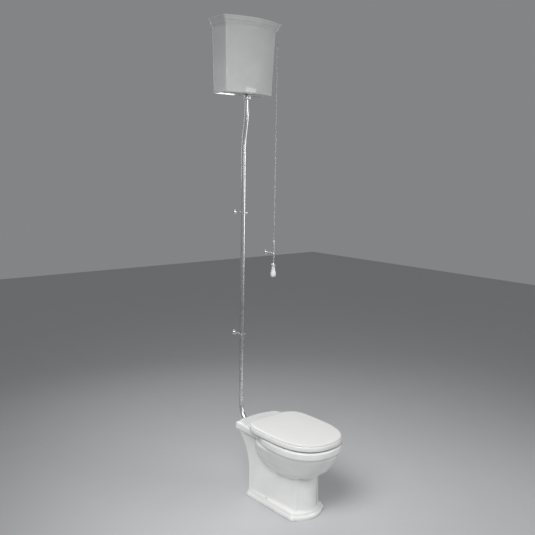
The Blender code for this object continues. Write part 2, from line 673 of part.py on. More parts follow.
def flush_pipe_path():
    """Down from the cistern, back to the wall, down to the pan and forward into its inlet."""
    top = [Vector((0, TAIL_Y, PIPE_TOP_Z)), Vector((0, TAIL_Y, 2.115))]
    offset = []
    for i in range(1, 8):
        share = i / 8
        ease = share * share * (3 - 2 * share)
        offset.append(Vector((0, TAIL_Y + (PIPE_Y - TAIL_Y) * ease, 2.115 - 0.205 * share)))
    centre = Vector((0, PIPE_Y - PIPE_BEND_RADIUS, HORN_Z + PIPE_BEND_RADIUS))
    straight = [Vector((0, PIPE_Y, 1.910)), Vector((0, PIPE_Y, 1.2))]
    bend = arc(centre, (0, PIPE_BEND_RADIUS, 0), (0, 0, -PIPE_BEND_RADIUS), 8)
    return top + offset + straight + bend + [Vector((0, HORN_END_Y - 0.050, HORN_Z))]


def pipe_clip(name, z, chrome):
    """A rose on the wall with its stem, and the split ring that holds the pipe, with its screw."""
    rose = [(0.0145, 0.0), (0.0145, 0.0040), (0.0130, 0.0085), (0.0095, 0.0125), (0.0045, 0.0145),
            (0.0036, 0.0160), (0.0036, WALL_Y - PIPE_Y - PIPE_RADIUS - 0.0040)]
    turned(f"clip_rose_{name}", rose, (0, WALL_Y, z), chrome, axis=(0, -1, 0))
    ring = collar(f"clip_ring_{name}", PIPE_RADIUS + GAP, PIPE_RADIUS + 0.0033, -0.0055, 0.0055,
                  (0, PIPE_Y, z), chrome, sides=20)
    join(ring, block(f"clip_ear_{name}", (PIPE_RADIUS + 0.0015, PIPE_Y - 0.0035, z - 0.0045),
                     (PIPE_RADIUS + 0.0110, PIPE_Y + 0.0035, z + 0.0045), chrome))
    cut(ring, block(f"clip_split_{name}", (PIPE_RADIUS - 0.002, PIPE_Y - 0.0006, z - 0.01),
                    (PIPE_RADIUS + 0.0150, PIPE_Y + 0.0006, z + 0.01), chrome))
    screw_x = PIPE_RADIUS + 0.0072
    cut(ring, turned(f"clip_bore_{name}", [(0.0019, -0.01), (0.0019, 0.01)], (screw_x, PIPE_Y, z), chrome,
                     axis=(0, 1, 0), sides=12))
    turned(f"clip_screw_{name}", [(0.0030, -0.0062), (0.0030, -0.0038), (0.0016, -0.0037), (0.0016, 0.0050)],
           (screw_x, PIPE_Y, z), chrome, axis=(0, 1, 0), sides=12)


def flush_cone(rubber):
    """The rubber cone that seals the pipe in the pan's inlet."""
    collar("flush_cone", PIPE_RADIUS + GAP, HORN_BORE - GAP, -0.034, 0.0, (0, HORN_END_Y, HORN_Z),
           rubber, axis=(0, 1, 0), sides=20)


# ---------------------------------------------------------------- lever, chain and pull

def flush_lever(chrome):
    thickness = 0.0032
    lever = block("flush_lever", (LIFT_X + 0.004, LEVER_Y - thickness / 2, LEVER_Z - 0.004),
                  (CHAIN_X - 0.004, LEVER_Y + thickness / 2, LEVER_Z + 0.004), chrome)
    for name, x in (("inner", LIFT_X), ("outer", CHAIN_X)):
        join(lever, eye_plate(f"lever_{name}_eye", x, LEVER_Z, 0.0080, thickness * 0.9, chrome))
        cut(lever, eye_bore(f"lever_{name}_bore", x, LEVER_Z, 0.0042, chrome))
    join(lever, eye_plate("lever_boss", PIVOT_X, LEVER_Z, 0.0065, thickness * 1.4, chrome))
    cut(lever, eye_bore("lever_pivot_bore", PIVOT_X, LEVER_Z, 0.00235, chrome))
    turned("lever_pin", [(0.0020, -0.0078), (0.0020, 0.0078)], (PIVOT_X, LEVER_Y, LEVER_Z), chrome,
           axis=(0, 1, 0), sides=16)


def lever_mounting(plastic, chrome):
    """Inside, the fork that the lever turns in. Outside, the plate that closes the slot."""
    inner_face = taper(LEVER_Z)[0] - CISTERN_WALL
    outer_face = taper(LEVER_Z)[0]
    fork = block("lever_fork", (inner_face - 0.0040, LEVER_Y - 0.0120, LEVER_Z - 0.0200),
                 (inner_face - 0.0009, LEVER_Y + 0.0120, LEVER_Z + 0.0130), plastic)
    for side, name in ((-1, "front"), (1, "back")):
        near, far = LEVER_Y + side * 0.0035, LEVER_Y + side * 0.0075
        join(fork, block(f"fork_{name}_ear", (PIVOT_X - 0.0060, min(near, far), LEVER_Z - 0.0060),
                         (inner_face - 0.0030, max(near, far), LEVER_Z + 0.0060), plastic))
    cut(fork, block("fork_slot", (inner_face - 0.010, LEVER_Y - 0.0034, LEVER_Z - 0.0150),
                    (inner_face + 0.010, LEVER_Y + 0.0034, LEVER_Z + 0.0070), plastic),
        eye_bore("fork_bore", PIVOT_X, LEVER_Z, 0.0023, plastic))
    plate = block("lever_escutcheon", (outer_face + 0.0012, LEVER_Y - 0.0130, LEVER_Z - 0.0220),
                  (outer_face + 0.0032, LEVER_Y + 0.0130, LEVER_Z + 0.0150), chrome)
    cut(plate, block("plate_slot", (outer_face - 0.01, LEVER_Y - 0.0032, LEVER_Z - 0.0160),
                     (outer_face + 0.02, LEVER_Y + 0.0032, LEVER_Z + 0.0070), chrome))


def chain_route():
    """The chain hangs straight from the ring on the lever to the ring on the pull rod."""
    x = CHAIN_X - 0.002
    return [Vector((x, LEVER_Y, LEVER_Z - 0.0246)), Vector((x, LEVER_Y, ROD_TOP_Z + 0.0135))]


def chain(finish):
    top, bottom = chain_route()
    curve = bpy.data.curves.new("chain", "CURVE")
    curve.dimensions = "3D"
    curve.bevel_depth = CHAIN_RADIUS
    curve.bevel_resolution = 2
    curve.use_fill_caps = True
    spline = curve.splines.new("POLY")
    count = 44
    spline.points.add(count - 1)
    for i, point in enumerate(spline.points):
        point.co = (*top.lerp(bottom, i / (count - 1)), 1.0)
    curve.materials.append(finish)
    obj = bpy.data.objects.new("chain", curve)
    bpy.context.scene.collection.objects.link(obj)
    return obj


def pull(chrome, china):
    """The rod below the chain, the handle's cap and its china knob."""
    x = CHAIN_X - 0.002
    wire_loop("lever_ring", (x, LEVER_Y, LEVER_Z - 0.0110), 0.0105, 0.0240, 0.0012, chrome)
    wire_loop("rod_ring", (x, LEVER_Y, ROD_TOP_Z + 0.0045), 0.0100, 0.0150, 0.0011, chrome)
    bar = [(0.0026, ROD_END_Z), (0.0026, 1.2535), (0.0040, 1.2537), (0.0040, ROD_TOP_Z - 0.012),
           (0.0030, ROD_TOP_Z - 0.006)]
    rod = turned("pull_rod", bar, (x, LEVER_Y, 0), chrome, sides=16)
    join(rod, eye_plate("rod_top_eye", x, ROD_TOP_Z - 0.0035, 0.0060, 0.0030, chrome))
    cut(rod, eye_bore("rod_top_bore", x, ROD_TOP_Z - 0.0035, 0.0030, chrome))
    cap = turned("handle_cap", [(0.0085, 1.2345), (0.0135, 1.2365), (0.0145, 1.2400), (0.0140, 1.2440),
                                (0.0095, 1.2500), (0.0070, 1.2533)], (x, LEVER_Y, 0), chrome, sides=18)
    cut(cap, turned("cap_bore", [(0.0029, 1.22), (0.0029, 1.27)], (x, LEVER_Y, 0), chrome, sides=16))
    rise = HANDLE_END_Z
    knob = turned("pull_handle", [(0.0070, rise), (0.0125, rise + 0.0030), (0.0158, rise + 0.0085),
                                  (0.0170, rise + 0.0160), (0.0160, rise + 0.0260), (0.0130, rise + 0.0380),
                                  (0.0102, rise + 0.0490), (0.0092, rise + 0.0570), (0.0098, rise + 0.0630),
                                  (0.0088, rise + 0.0650)], (x, LEVER_Y, 0), china, sides=18)
    socket = [(0.0029, ROD_END_Z - GAP), (0.0029, 1.26)]
    cut(knob, turned("knob_socket", socket, (x, LEVER_Y, 0), china, sides=16))


def pull_guide(chrome):
    """The guide on the wall: a rose, and an arm with the ring that the rod slides through."""
    x = CHAIN_X - 0.002
    rose = [(0.0150, 0.0), (0.0150, 0.0040), (0.0135, 0.0085), (0.0100, 0.0120), (0.0055, 0.0138),
            (0.0050, 0.0140)]
    turned("guide_rose", rose, (x, WALL_Y, GUIDE_Z), chrome, axis=(0, -1, 0))
    stem = [(0.0032, 0.0143), (0.0032, WALL_Y - LEVER_Y - 0.0075)]
    arm = turned("guide_arm", stem, (x, WALL_Y, GUIDE_Z), chrome, axis=(0, -1, 0), sides=16)
    join(arm, turned("guide_ring", [(0.0092, -0.0035), (0.0105, -0.0020), (0.0105, 0.0020), (0.0092, 0.0035)],
                     (x, LEVER_Y, GUIDE_Z), chrome, sides=18))
    cut(arm, turned("guide_bore", [(0.0058, -0.01), (0.0058, 0.01)], (x, LEVER_Y, GUIDE_Z), chrome, sides=18))


# ---------------------------------------------------------------- float valve

def float_valve(brass, plastic, rubber):
    inner_face = taper(VALVE_Z)[0] - CISTERN_WALL
    outer_face = taper(VALVE_Z)[0]
    place = (0, VALVE_Y, VALVE_Z)
    valve = turned("valve_body", [(0.0085, FLOAT_PIVOT_X + 0.010), (0.0105, FLOAT_PIVOT_X + 0.012),
                                  (0.0105, inner_face - 0.010), (0.0130, inner_face - 0.0095),
                                  (0.0130, inner_face - 0.0030), (0.0074, inner_face - 0.0028),
                                  (0.0074, outer_face + 0.0300)], place, brass, axis=(1, 0, 0))
    for side, name in ((-1, "front"), (1, "back")):
        near, far = VALVE_Y + side * 0.0035, VALVE_Y + side * 0.0065
        join(valve, block(f"valve_{name}_ear", (FLOAT_PIVOT_X - 0.0050, min(near, far), VALVE_Z - 0.0050),
                          (FLOAT_PIVOT_X + 0.0150, max(near, far), VALVE_Z + 0.0050), brass))
    bore = [(0.0045, 0.120), (0.0045, 0.30)]
    cut(valve, turned("valve_bore", bore, place, brass, axis=(1, 0, 0), sides=16))
    join(valve, turned("valve_pin", [(0.0020, -0.0060), (0.0020, 0.0060)], (FLOAT_PIVOT_X, VALVE_Y, VALVE_Z),
                       brass, axis=(0, 1, 0), sides=16))
    collar("valve_washer", 0.0077, 0.0125, outer_face + 0.0008, outer_face + 0.0026, place, rubber,
           axis=(1, 0, 0))
    nut = hexagon("valve_back_nut", 0.0240, outer_face + 0.0029, outer_face + 0.0095, place, brass,
                  axis=(1, 0, 0))
    thread = [(0.0077, 0.15), (0.0077, 0.20)]
    cut(nut, turned("valve_nut_bore", thread, place, brass, axis=(1, 0, 0), sides=16))
    pivot = Vector((FLOAT_PIVOT_X, VALVE_Y, VALVE_Z))
    along = Vector((-math.cos(FLOAT_DROOP), 0, -math.sin(FLOAT_DROOP)))
    centre = pivot + along * FLOAT_REACH + Vector((0, -0.019, 0))
    path = [pivot + along * 0.0045, pivot + along * 0.060, pivot + along * 0.110 + Vector((0, -0.006, 0)),
            centre - along * (FLOAT_RADIUS - 0.003)]
    arm = swept("float_arm", path, [0.0027] * 4, brass, sides=12)
    join(arm, turned("arm_eye", [(0.0048, -0.0031), (0.0048, 0.0031)], pivot, brass, axis=(0, 1, 0)))
    cut(arm, turned("arm_eye_bore", [(0.00235, -0.01), (0.00235, 0.01)], pivot, brass, axis=(0, 1, 0)))
    ball = turned("float_ball", [(FLOAT_RADIUS * math.sin(a), -FLOAT_RADIUS * math.cos(a))
                                 for a in (math.pi * i / 10 for i in range(1, 10))],
                  centre, plastic, axis=along, sides=14)
    cut(ball, swept("ball_socket", path[-2:] + [path[-1] + along * 0.001], [0.0030] * 3, plastic, sides=12))


def foot_fixings(steel):
    """Inside the foot, an angle bracket on each side, and the screw that holds the pan to it."""
    inner = FIXING_FACE_X - CHINA - 0.0115
    for side, name in SIDES:
        x = side * inner
        bracket = block(f"foot_bracket_{name}", (min(x, x - side * 0.0025), FIXING_Y - 0.020, GAP),
                        (max(x, x - side * 0.0025), FIXING_Y + 0.020, FIXING_Z + 0.006), steel)
        join(bracket, block(f"bracket_base_{name}", (min(x, x - side * 0.030), FIXING_Y - 0.020, GAP),
                            (max(x, x - side * 0.030), FIXING_Y + 0.020, GAP + 0.0025), steel))
        cut(bracket, turned(f"bracket_hole_{name}", [(0.0029, -0.02), (0.0029, 0.02)],
                            (x, FIXING_Y, FIXING_Z), steel, axis=(1, 0, 0)))
        head = FIXING_FACE_X - 0.0075
        screw = [(0.0026, inner - 0.012), (0.0026, head - 0.0035), (0.0041, head - 0.0030), (0.0041, head)]
        turned(f"foot_screw_{name}", screw, (0, FIXING_Y, FIXING_Z), steel, axis=(side, 0, 0))


# ---------------------------------------------------------------- the whole object

def build():
    clear_scene()
    china = material("glazed_china", (0.86, 0.86, 0.85), 0.08)
    lacquer = material("white_lacquer", (0.84, 0.84, 0.83), 0.22)
    plastic = material("white_plastic", (0.80, 0.80, 0.78), 0.35)
    chrome = material("polished_chrome", (0.62, 0.63, 0.65), 0.10, 1.0)
    brass = material("brass", (0.62, 0.44, 0.18), 0.30, 1.0)
    steel = material("stainless_steel", (0.55, 0.55, 0.55), 0.30, 1.0)
    rubber = material("black_rubber", (0.03, 0.03, 0.03), 0.60)

    pan(china)
    seat_ring(lacquer)
    seat_lid(lacquer)
    buffers("seat_buffer", {"back_left": (-0.140, -0.170), "back_right": (0.140, -0.170),
                            "front_left": (-0.105, -0.430), "front_right": (0.105, -0.430)},
            RIM_Z + GAP, SEAT_BOTTOM_Z - GAP, rubber)
    buffers("lid_buffer", {"left": (-0.095, -0.440), "right": (0.095, -0.440)},
            SEAT_BOTTOM_Z + SEAT_THICKNESS + GAP, LID_UNDERSIDE_Z - GAP, rubber)
    hinges(china, plastic, steel, rubber)
    foot_fixings(steel)
    flush_cone(rubber)

    cistern_body(china)
    cistern_lid(china)
    siphon(plastic, rubber, brass)
    tail_fittings(chrome, rubber)
    pipe("flush_pipe", flush_pipe_path(), PIPE_RADIUS, PIPE_BORE, chrome, sides=14)
    for name, z in CLIP_HEIGHTS.items():
        pipe_clip(name, z, chrome)

    flush_lever(chrome)
    lever_mounting(plastic, chrome)
    chain(chrome)
    pull(chrome, china)
    pull_guide(chrome)
    float_valve(brass, plastic, rubber)


build()
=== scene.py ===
"""High-level toilet: a china pan with a seat and a wrap-over lid, and a china cistern high on the
wall with a long flush pipe, a lever and a pull chain.

Everything is in metres: +Z is up, +Y points to the wall and +X to the right of someone who faces
the wall. The pan stands on z = 0.
"""
import math

import bmesh
import bpy
from bpy.props import FloatProperty, FloatVectorProperty, IntProperty, PointerProperty
from mathutils import Matrix, Vector


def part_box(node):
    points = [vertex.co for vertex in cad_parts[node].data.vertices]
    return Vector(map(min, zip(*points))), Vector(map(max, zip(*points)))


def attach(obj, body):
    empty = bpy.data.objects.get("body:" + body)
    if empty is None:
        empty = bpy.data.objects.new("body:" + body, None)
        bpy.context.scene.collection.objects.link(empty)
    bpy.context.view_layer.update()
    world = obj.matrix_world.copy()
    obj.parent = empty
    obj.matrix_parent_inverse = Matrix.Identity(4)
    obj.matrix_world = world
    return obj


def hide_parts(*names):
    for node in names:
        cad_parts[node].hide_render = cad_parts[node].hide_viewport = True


bl_info = {
    "name": "High-level toilet",
    "version": (1, 0, 0),
    "blender": (4, 5, 0),
    "location": "View3D > Sidebar > Toilet",
    "description": "Builds a pan, a wall cistern, a flush pipe and a pull chain around the CAD frame",
    "category": "Object",
}

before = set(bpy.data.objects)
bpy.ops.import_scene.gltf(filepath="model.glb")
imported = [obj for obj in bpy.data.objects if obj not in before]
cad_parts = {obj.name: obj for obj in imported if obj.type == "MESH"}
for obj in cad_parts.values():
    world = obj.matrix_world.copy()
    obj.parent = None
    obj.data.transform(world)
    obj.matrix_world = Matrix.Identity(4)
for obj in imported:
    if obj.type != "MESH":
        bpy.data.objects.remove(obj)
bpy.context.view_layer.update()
SIDES = ((-1, "left"), (1, "right"))
X_AXIS, Y_AXIS = (1, 0, 0), (0, 1, 0)

# Where the fixed pieces are, from the CAD
SHELF_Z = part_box("pan")[1].z
RIM_Z = 0.408
LEDGE_Y = -0.004
CISTERN_LOW, CISTERN_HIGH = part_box("cistern_body")
WALL_Y = CISTERN_HIGH.y
CISTERN_TOP_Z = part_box("cistern_lid")[1].z
PIPE_Y = 0.2235
TAIL_Y = 0.199
LEVER_Y = 0.224
LEVER_Z = 2.483
PIVOT_X = 0.147
LEVER_END_X = 0.231
PULL_X = 0.229
ROD_TOP_Z = 1.388
GUIDE_Z = 1.310
HINGE_Y = -0.018
HINGE_Z = 0.424
INLET_Z = 0.345
INLET_END_Y = 0.088
FIXING_X, FIXING_Y, FIXING_Z = 0.1085, -0.1513, 0.0385
SEAT_LOW_Z = 0.4135
SEAT_WIDE_Y = -0.270


# ---------------------------------------------------------------- sizes and colours

def linear_colour(code):
    """An sRGB hex code as linear red, green and blue."""
    parts = [int(code[i:i + 2], 16) / 255 for i in (1, 3, 5)]
    return tuple(c / 12.92 if c <= 0.04045 else ((c + 0.055) / 1.055) ** 2.4 for c in parts)


def colour(name, description, code):
    return FloatVectorProperty(name=name, description=description, subtype="COLOR", size=3, min=0.0,
                               max=1.0, default=linear_colour(code))


def length(name, description, metres):
    return FloatProperty(name=name, description=description, unit="LENGTH", subtype="DISTANCE",
                         min=0.0, default=metres)


class PanSizes(bpy.types.PropertyGroup):
    rim_half_width: length("Rim half width", "Half the width of the pan's rim", 0.187)
    rim_front: length("Rim reach", "How far the rim reaches in front of the foot's back edge", 0.518)
    china_grain: length("Surface step", "Spacing of the china's surface points", 0.0034)
    hinge_spacing: length("Hinge spacing", "Distance of each hinge from the middle", 0.068)


class LidSizes(bpy.types.PropertyGroup):
    half_width: length("Lid half width", "Half the width of the seat's lid", 0.1845)
    top: length("Lid height", "Height of the lid's top edge over the floor", 0.4470)
    skirt: length("Skirt height", "Height of the lid's lower edge over the floor", 0.4158)


class PipeSizes(bpy.types.PropertyGroup):
    radius: length("Pipe radius", "Outside radius of the flush pipe", 0.013)
    bore: length("Pipe bore", "Inside radius of the flush pipe", 0.0115)


class ChainSizes(bpy.types.PropertyGroup):
    diameter: length("Chain diameter", "Width across the chain's links", 0.006)
    wire: length("Wire", "Thickness of the links' wire", 0.0016)
    links: IntProperty(name="Links", description="How many links the chain has", min=2, default=162)


class Finishes(bpy.types.PropertyGroup):
    china: colour("China", "Glaze of the pan, the cistern and the handle", "#f0f0ee")
    china_pooled: colour("Pooled glaze", "Where the glaze is thicker", "#e6e8e7")
    seat: colour("Seat", "Moulded seat and lid", "#efefed")
    chrome: colour("Chrome", "Plated pipe, clips and pull", "#f1f2f3")
    brass: colour("Brass", "Float arm, siphon rod and valve", "#b58b45")
    steel: colour("Steel", "Screws, pins and brackets", "#b9bbbd")
    # This near-black is also the painted shade on the foot screws and brackets
    rubber: colour("Rubber", "Cone, washers and buffers", "#1b1b1c")
    plastic: colour("Plastic", "Siphon, float and hinge posts", "#e9e8e4")
    floor: colour("Floor", "The plain floor", "#c9cacb")


# ---------------------------------------------------------------- modelling helpers

def deselect():
    if bpy.context.mode != "OBJECT":
        bpy.ops.object.mode_set(mode="OBJECT")
    bpy.ops.object.select_all(action="DESELECT")


def pick(piece):
    deselect()
    piece.select_set(True)
    bpy.context.view_layer.objects.active = piece


def skin(name, rings, closed=False):
    """A solid grown from a filled circle: each ring is the last one extruded and reshaped."""
    deselect()
    count = len(rings[0])
    bpy.ops.mesh.primitive_circle_add(vertices=count, fill_type="NGON", location=(0, 0, 0))
    piece = bpy.context.object
    piece.name = piece.data.name = name
    bpy.ops.object.mode_set(mode="EDIT")
    shape = bmesh.from_edit_mesh(piece.data)
    place = shape.verts.layers.int.new("place")
    for i, corner in enumerate(shape.verts):
        corner[place] = i
        corner.co = rings[0][i]
    for ring in rings[1:] + (rings[:1] if closed else []):
        bpy.ops.mesh.extrude_region_move()
        shape = bmesh.from_edit_mesh(piece.data)
        place = shape.verts.layers.int["place"]
        for corner in shape.verts:
            if corner.select:
                corner.co = ring[corner[place]]
        bmesh.update_edit_mesh(piece.data)
    bpy.ops.mesh.select_all(action="SELECT")
    if closed:
        caps = [face for face in shape.faces if len(face.verts) == count]
        bmesh.ops.delete(shape, geom=caps, context="FACES_ONLY")
        bpy.ops.mesh.remove_doubles(threshold=1e-6)
    bpy.ops.mesh.normals_make_consistent(inside=False)
    bpy.ops.object.mode_set(mode="OBJECT")
    piece.data.attributes.remove(piece.data.attributes["place"])
    return piece


def eased(rows, steps=4):
    """Rows of numbers with eased rows between them, so that a coarse profile comes out round."""
    fine = []
    for i in range(len(rows) - 1):
        four = rows[max(i - 1, 0)], rows[i], rows[i + 1], rows[min(i + 2, len(rows) - 1)]
        for k in range(steps):
            t = k / steps
            fine.append([0.5 * (2 * b + (c - a) * t + (2 * a - 5 * b + 4 * c - d) * t * t
                                + (3 * b - a - 3 * c + d) * t ** 3) for a, b, c, d in zip(*four)])
    return fine + [list(rows[-1])]


def turned(name, profile, place, axis=(0, 0, 1), sides=40, closed=False):
    """A turned piece: (radius, height) pairs round an axis. A closed profile makes a ring."""
    turn = Vector((0, 0, 1)).rotation_difference(Vector(axis)).to_matrix()
    around = [2 * math.pi * i / sides for i in range(sides)]
    rings = [[Vector(place) + turn @ Vector((r * math.cos(a), r * math.sin(a), h)) for a in around]
             for r, h in profile]
    return skin(name, rings, closed)


def rod(name, radius, low, high, place, axis=(0, 0, 1)):
    return turned(name, [(radius, low), (radius, high)], place, axis)


def disc(name, radius, half, ease, place, axis):
    """A turned disc or barrel with eased edges, centred on its place."""
    return turned(name, [(radius - ease, -half), (radius, ease - half), (radius, half - ease),
                         (radius - ease, half)], place, axis)


def bar_rings(path, radii, sides=28):
    """The rings of a round bar along a line that stays in one plane."""
    tangents = []
    for i in range(len(path)):
        before, after = path[max(i - 1, 0)], path[min(i + 1, len(path) - 1)]
        tangents.append((after - before).normalized())
    side = tangents[0].orthogonal().normalized()
    rings = []
    for point, tangent, radius in zip(path, tangents, radii):
        side = (side - tangent * side.dot(tangent)).normalized()
        other = tangent.cross(side)
        around = [2 * math.pi * k / sides for k in range(sides)]
        rings.append([point + radius * (math.cos(a) * side + math.sin(a) * other) for a in around])
    return rings


def block(name, low, high, bevel=0.0):
    """A block between two corners, with its edges eased."""
    deselect()
    low, high = Vector(low), Vector(high)
    bpy.ops.mesh.primitive_cube_add(size=1.0, location=(low + high) / 2, scale=high - low)
    piece = bpy.context.object
    piece.name = piece.data.name = name
    bpy.ops.object.transform_apply(location=True, rotation=True, scale=True)
    if bevel:
        bpy.ops.object.mode_set(mode="EDIT")
        bpy.ops.mesh.select_all(action="SELECT")
        bpy.ops.mesh.bevel(offset=bevel, segments=3, affect="EDGES")
        bpy.ops.object.mode_set(mode="OBJECT")
    return piece


def apply_modifier(piece, kind, **settings):
    pick(piece)
    modifier = piece.modifiers.new(kind.title(), kind)
    for key, value in settings.items():
        setattr(modifier, key, value)
    bpy.ops.object.modifier_apply(modifier=modifier.name)


def combine(piece, operation, *others):
    """Joins other solids to a piece, or cuts them out of it, and removes them."""
    for other in others:
        apply_modifier(piece, "BOOLEAN", operation=operation, object=other, solver="EXACT")
        if not piece.data.polygons:
            raise RuntimeError(f"{piece.name} is empty after {other.name}")
        bpy.data.objects.remove(other, do_unlink=True)
    return piece


# Each finish: its material and its slot
CHINA = ("glazed vitreous china", "china")
SEAT = ("moulded thermoset", "lacquer")
CHROME = ("polished chrome plate", "chrome")
RUBBER = ("black rubber", "rubber")
PLASTIC = ("moulded white plastic", "plastic")


def finished(piece, finish, body, *replaced, angle=35):
    """Gives a piece its material and its place in the frame."""
    material, slot = finish
    pick(piece)
    bpy.ops.object.shade_smooth_by_angle(angle=math.radians(angle))
    piece.data.materials.clear()
    piece.data.materials.append(bpy.data.materials[material])
    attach(piece, body)
    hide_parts(*replaced)


# ---------------------------------------------------------------- outlines

def levels(base, *rows):
    """(inset, height) rows of a profile, with each height measured from a base."""
    return [(inset, base + height) for inset, height in rows]


def power(value, exponent):
    return math.copysign(abs(value) ** exponent, value)


def egg(half_width, front_y, back_y, wide_y, z, front_power=2.2, back_power=2.6, count=144):
    """An oval whose front and back halves are superellipses that meet at wide_y."""
    points = []
    for i in range(count):
        angle = 2 * math.pi * (i + 0.5) / count
        ahead = math.sin(angle) < 0
        bend = 2 / (front_power if ahead else back_power)
        reach = (wide_y - front_y) if ahead else (back_y - wide_y)
        x = half_width * power(math.cos(angle), bend)
        points.append(Vector((x, wide_y + reach * power(math.sin(angle), bend), z)))
    return points


def bowed_box(half_width, back_y, corner_y, bow, radius, z, front_half=None, steps=8, bow_steps=24):
    """A plan with a straight back, straight sides, round corners and a front that bows out."""
    points = []
    back, front = half_width - radius, (front_half or half_width) - radius
    corners = ((back, back_y - radius, 0), (-back, back_y - radius, 90),
               (-front, corner_y + radius, 180))
    for x, y, start in corners:
        for i in range(steps + 1):
            angle = math.radians(start + 90 * i / steps)
            points.append(Vector((x + radius * math.cos(angle), y + radius * math.sin(angle), z)))
    for i in range(1, bow_steps):
        x = front * (2 * i / bow_steps - 1)
        points.append(Vector((x, corner_y - bow * (1 - (x / front) ** 2), z)))
    for i in range(steps + 1):
        angle = math.radians(270 + 90 * i / steps)
        y = corner_y + radius + radius * math.sin(angle)
        points.append(Vector((front + radius * math.cos(angle), y, z)))
    return points


# ---------------------------------------------------------------- materials

def add_node(tree, kind, values=None, links=None, **settings):
    """Adds one node with its settings, its input values, and its links as (node, output)."""
    added = tree.nodes.new(kind)
    for key, value in settings.items():
        setattr(added, key, value)
    for socket, value in (values or {}).items():
        added.inputs[socket].default_value = value
    for socket, (source, output) in (links or {}).items():
        tree.links.new(source.outputs[output], added.inputs[socket])
    return added


def new_material(name, **values):
    """A material's nodes, its shader with some values set, and the piece's Object coordinates."""
    material = bpy.data.materials.new(name)
    material.use_nodes = True
    tree = material.node_tree
    shader = tree.nodes["Principled BSDF"]
    for socket, value in values.items():
        shader.inputs[socket.replace("_", " ")].default_value = value
    return tree, shader, (add_node(tree, "ShaderNodeTexCoord"), "Object")


def noise(tree, place, scale, detail, roughness=0.5, distortion=0.0):
    """A cloudy pattern that repeats about scale times in a metre."""
    values = {"Scale": scale, "Detail": detail, "Roughness": roughness, "Distortion": distortion}
    return add_node(tree, "ShaderNodeTexNoise", values, {"Vector": place}), "Fac"


def stretched(tree, place, scale):
    """Coordinates along which a pattern is drawn out."""
    return add_node(tree, "ShaderNodeMapping", {"Scale": scale}, {"Vector": place}), "Vector"


def spread(tree, pattern, low, high, start=0.0, end=1.0):
    """A pattern whose values from start to end become low to high."""
    values = {"From Min": start, "From Max": end, "To Min": low, "To Max": high}
    return add_node(tree, "ShaderNodeMapRange", values, {"Value": pattern}), "Result"


def two_tone(tree, first, second, amount):
    """Two colours, mixed by a pattern."""
    values = {6: (*first, 1), 7: (*second, 1)}
    return add_node(tree, "ShaderNodeMix", values, {0: amount}, data_type="RGBA"), 2


def shaded(tree, plain, shade):
    """A colour, darkened by a pattern."""
    return add_node(tree, "ShaderNodeMix", {0: 1.0, 6: (*plain, 1)}, {7: shade}, data_type="RGBA",
                    blend_type="MULTIPLY"), 2


def bump(tree, height, strength, distance, **below):
    """A raised pattern, over another one if Normal is given."""
    return add_node(tree, "ShaderNodeBump", {"Strength": strength, "Distance": distance},
                    {"Height": height, **below}), "Normal"


def connect(tree, shader, **patterns):
    """Links patterns to the shader's inputs of those names."""
    for socket, (source, output) in patterns.items():
        tree.links.new(source.outputs[output], shader.inputs[socket.replace("_", " ")])


def glazed_china(finishes):
    """Vitreous china: cast clay under a fired glaze, so it is glassy with a very slight waviness,
    a little colder where the glaze pooled, and flecked with a few faint pinholes."""
    tree, shader, place = new_material("glazed vitreous china", IOR=1.52, Coat_Weight=0.35,
                                       Coat_Roughness=0.04)
    # Pools 140 mm across, pinholes 18 mm apart, and waves 45 mm long under a 2.6 mm orange peel
    pools = spread(tree, noise(tree, place, 7.0, 3.0), 0.0, 1.0, 0.35, 0.70)
    body = two_tone(tree, finishes.china, finishes.china_pooled, pools)
    specks = add_node(tree, "ShaderNodeTexVoronoi", {"Scale": 55.0}, {"Vector": place}), "Distance"
    dots = spread(tree, specks, 0.82, 1.0, 0.012, 0.020)
    flecked = add_node(tree, "ShaderNodeMix", {0: 1.0}, {6: body, 7: dots}, data_type="RGBA",
                       blend_type="MULTIPLY"), 2
    gloss = spread(tree, noise(tree, place, 28.0, 4.0), 0.07, 0.17)
    waves = bump(tree, noise(tree, place, 22.0, 1.0), 0.35, 0.0006)
    peel = bump(tree, noise(tree, place, 380.0, 2.0), 0.12, 0.00012, Normal=waves)
    connect(tree, shader, Base_Color=flecked, Roughness=gloss, Normal=peel)


def moulded_seat(finishes):
    """Thermoset seat: pressed hot in a polished mould, so it is smooth and dense, with a fine
    orange peel and a slightly softer gloss than the china."""
    tree, shader, place = new_material("moulded thermoset", IOR=1.54)
    # Clouds 60 mm across, handling marks 25 mm across, and a 2.2 mm orange peel
    body = shaded(tree, finishes.seat, spread(tree, noise(tree, place, 16.0, 4.0), 0.965, 1.0))
    gloss = spread(tree, noise(tree, place, 40.0, 5.0, 0.6), 0.14, 0.28)
    peel = bump(tree, noise(tree, place, 450.0, 2.0), 0.18, 0.0001)
    connect(tree, shader, Base_Color=body, Roughness=gloss, Normal=peel)


def plated_chrome(finishes):
    """Chrome plate on polished brass: mirror bright, with wiping marks along the length and a
    little dull bloom."""
    tree, shader, place = new_material("polished chrome plate", Metallic=1.0)
    # Bloom 30 mm across, and wiping marks 0.5 mm wide and 40 times as long
    bloom = noise(tree, place, 34.0, 4.0)
    body = shaded(tree, finishes.chrome, spread(tree, bloom, 0.86, 1.0))
    marks = noise(tree, stretched(tree, place, (1.0, 1.0, 0.025)), 2000.0, 2.0)
    connect(tree, shader, Base_Color=body, Roughness=spread(tree, bloom, 0.20, 0.34),
            Normal=bump(tree, marks, 0.05, 0.00005))


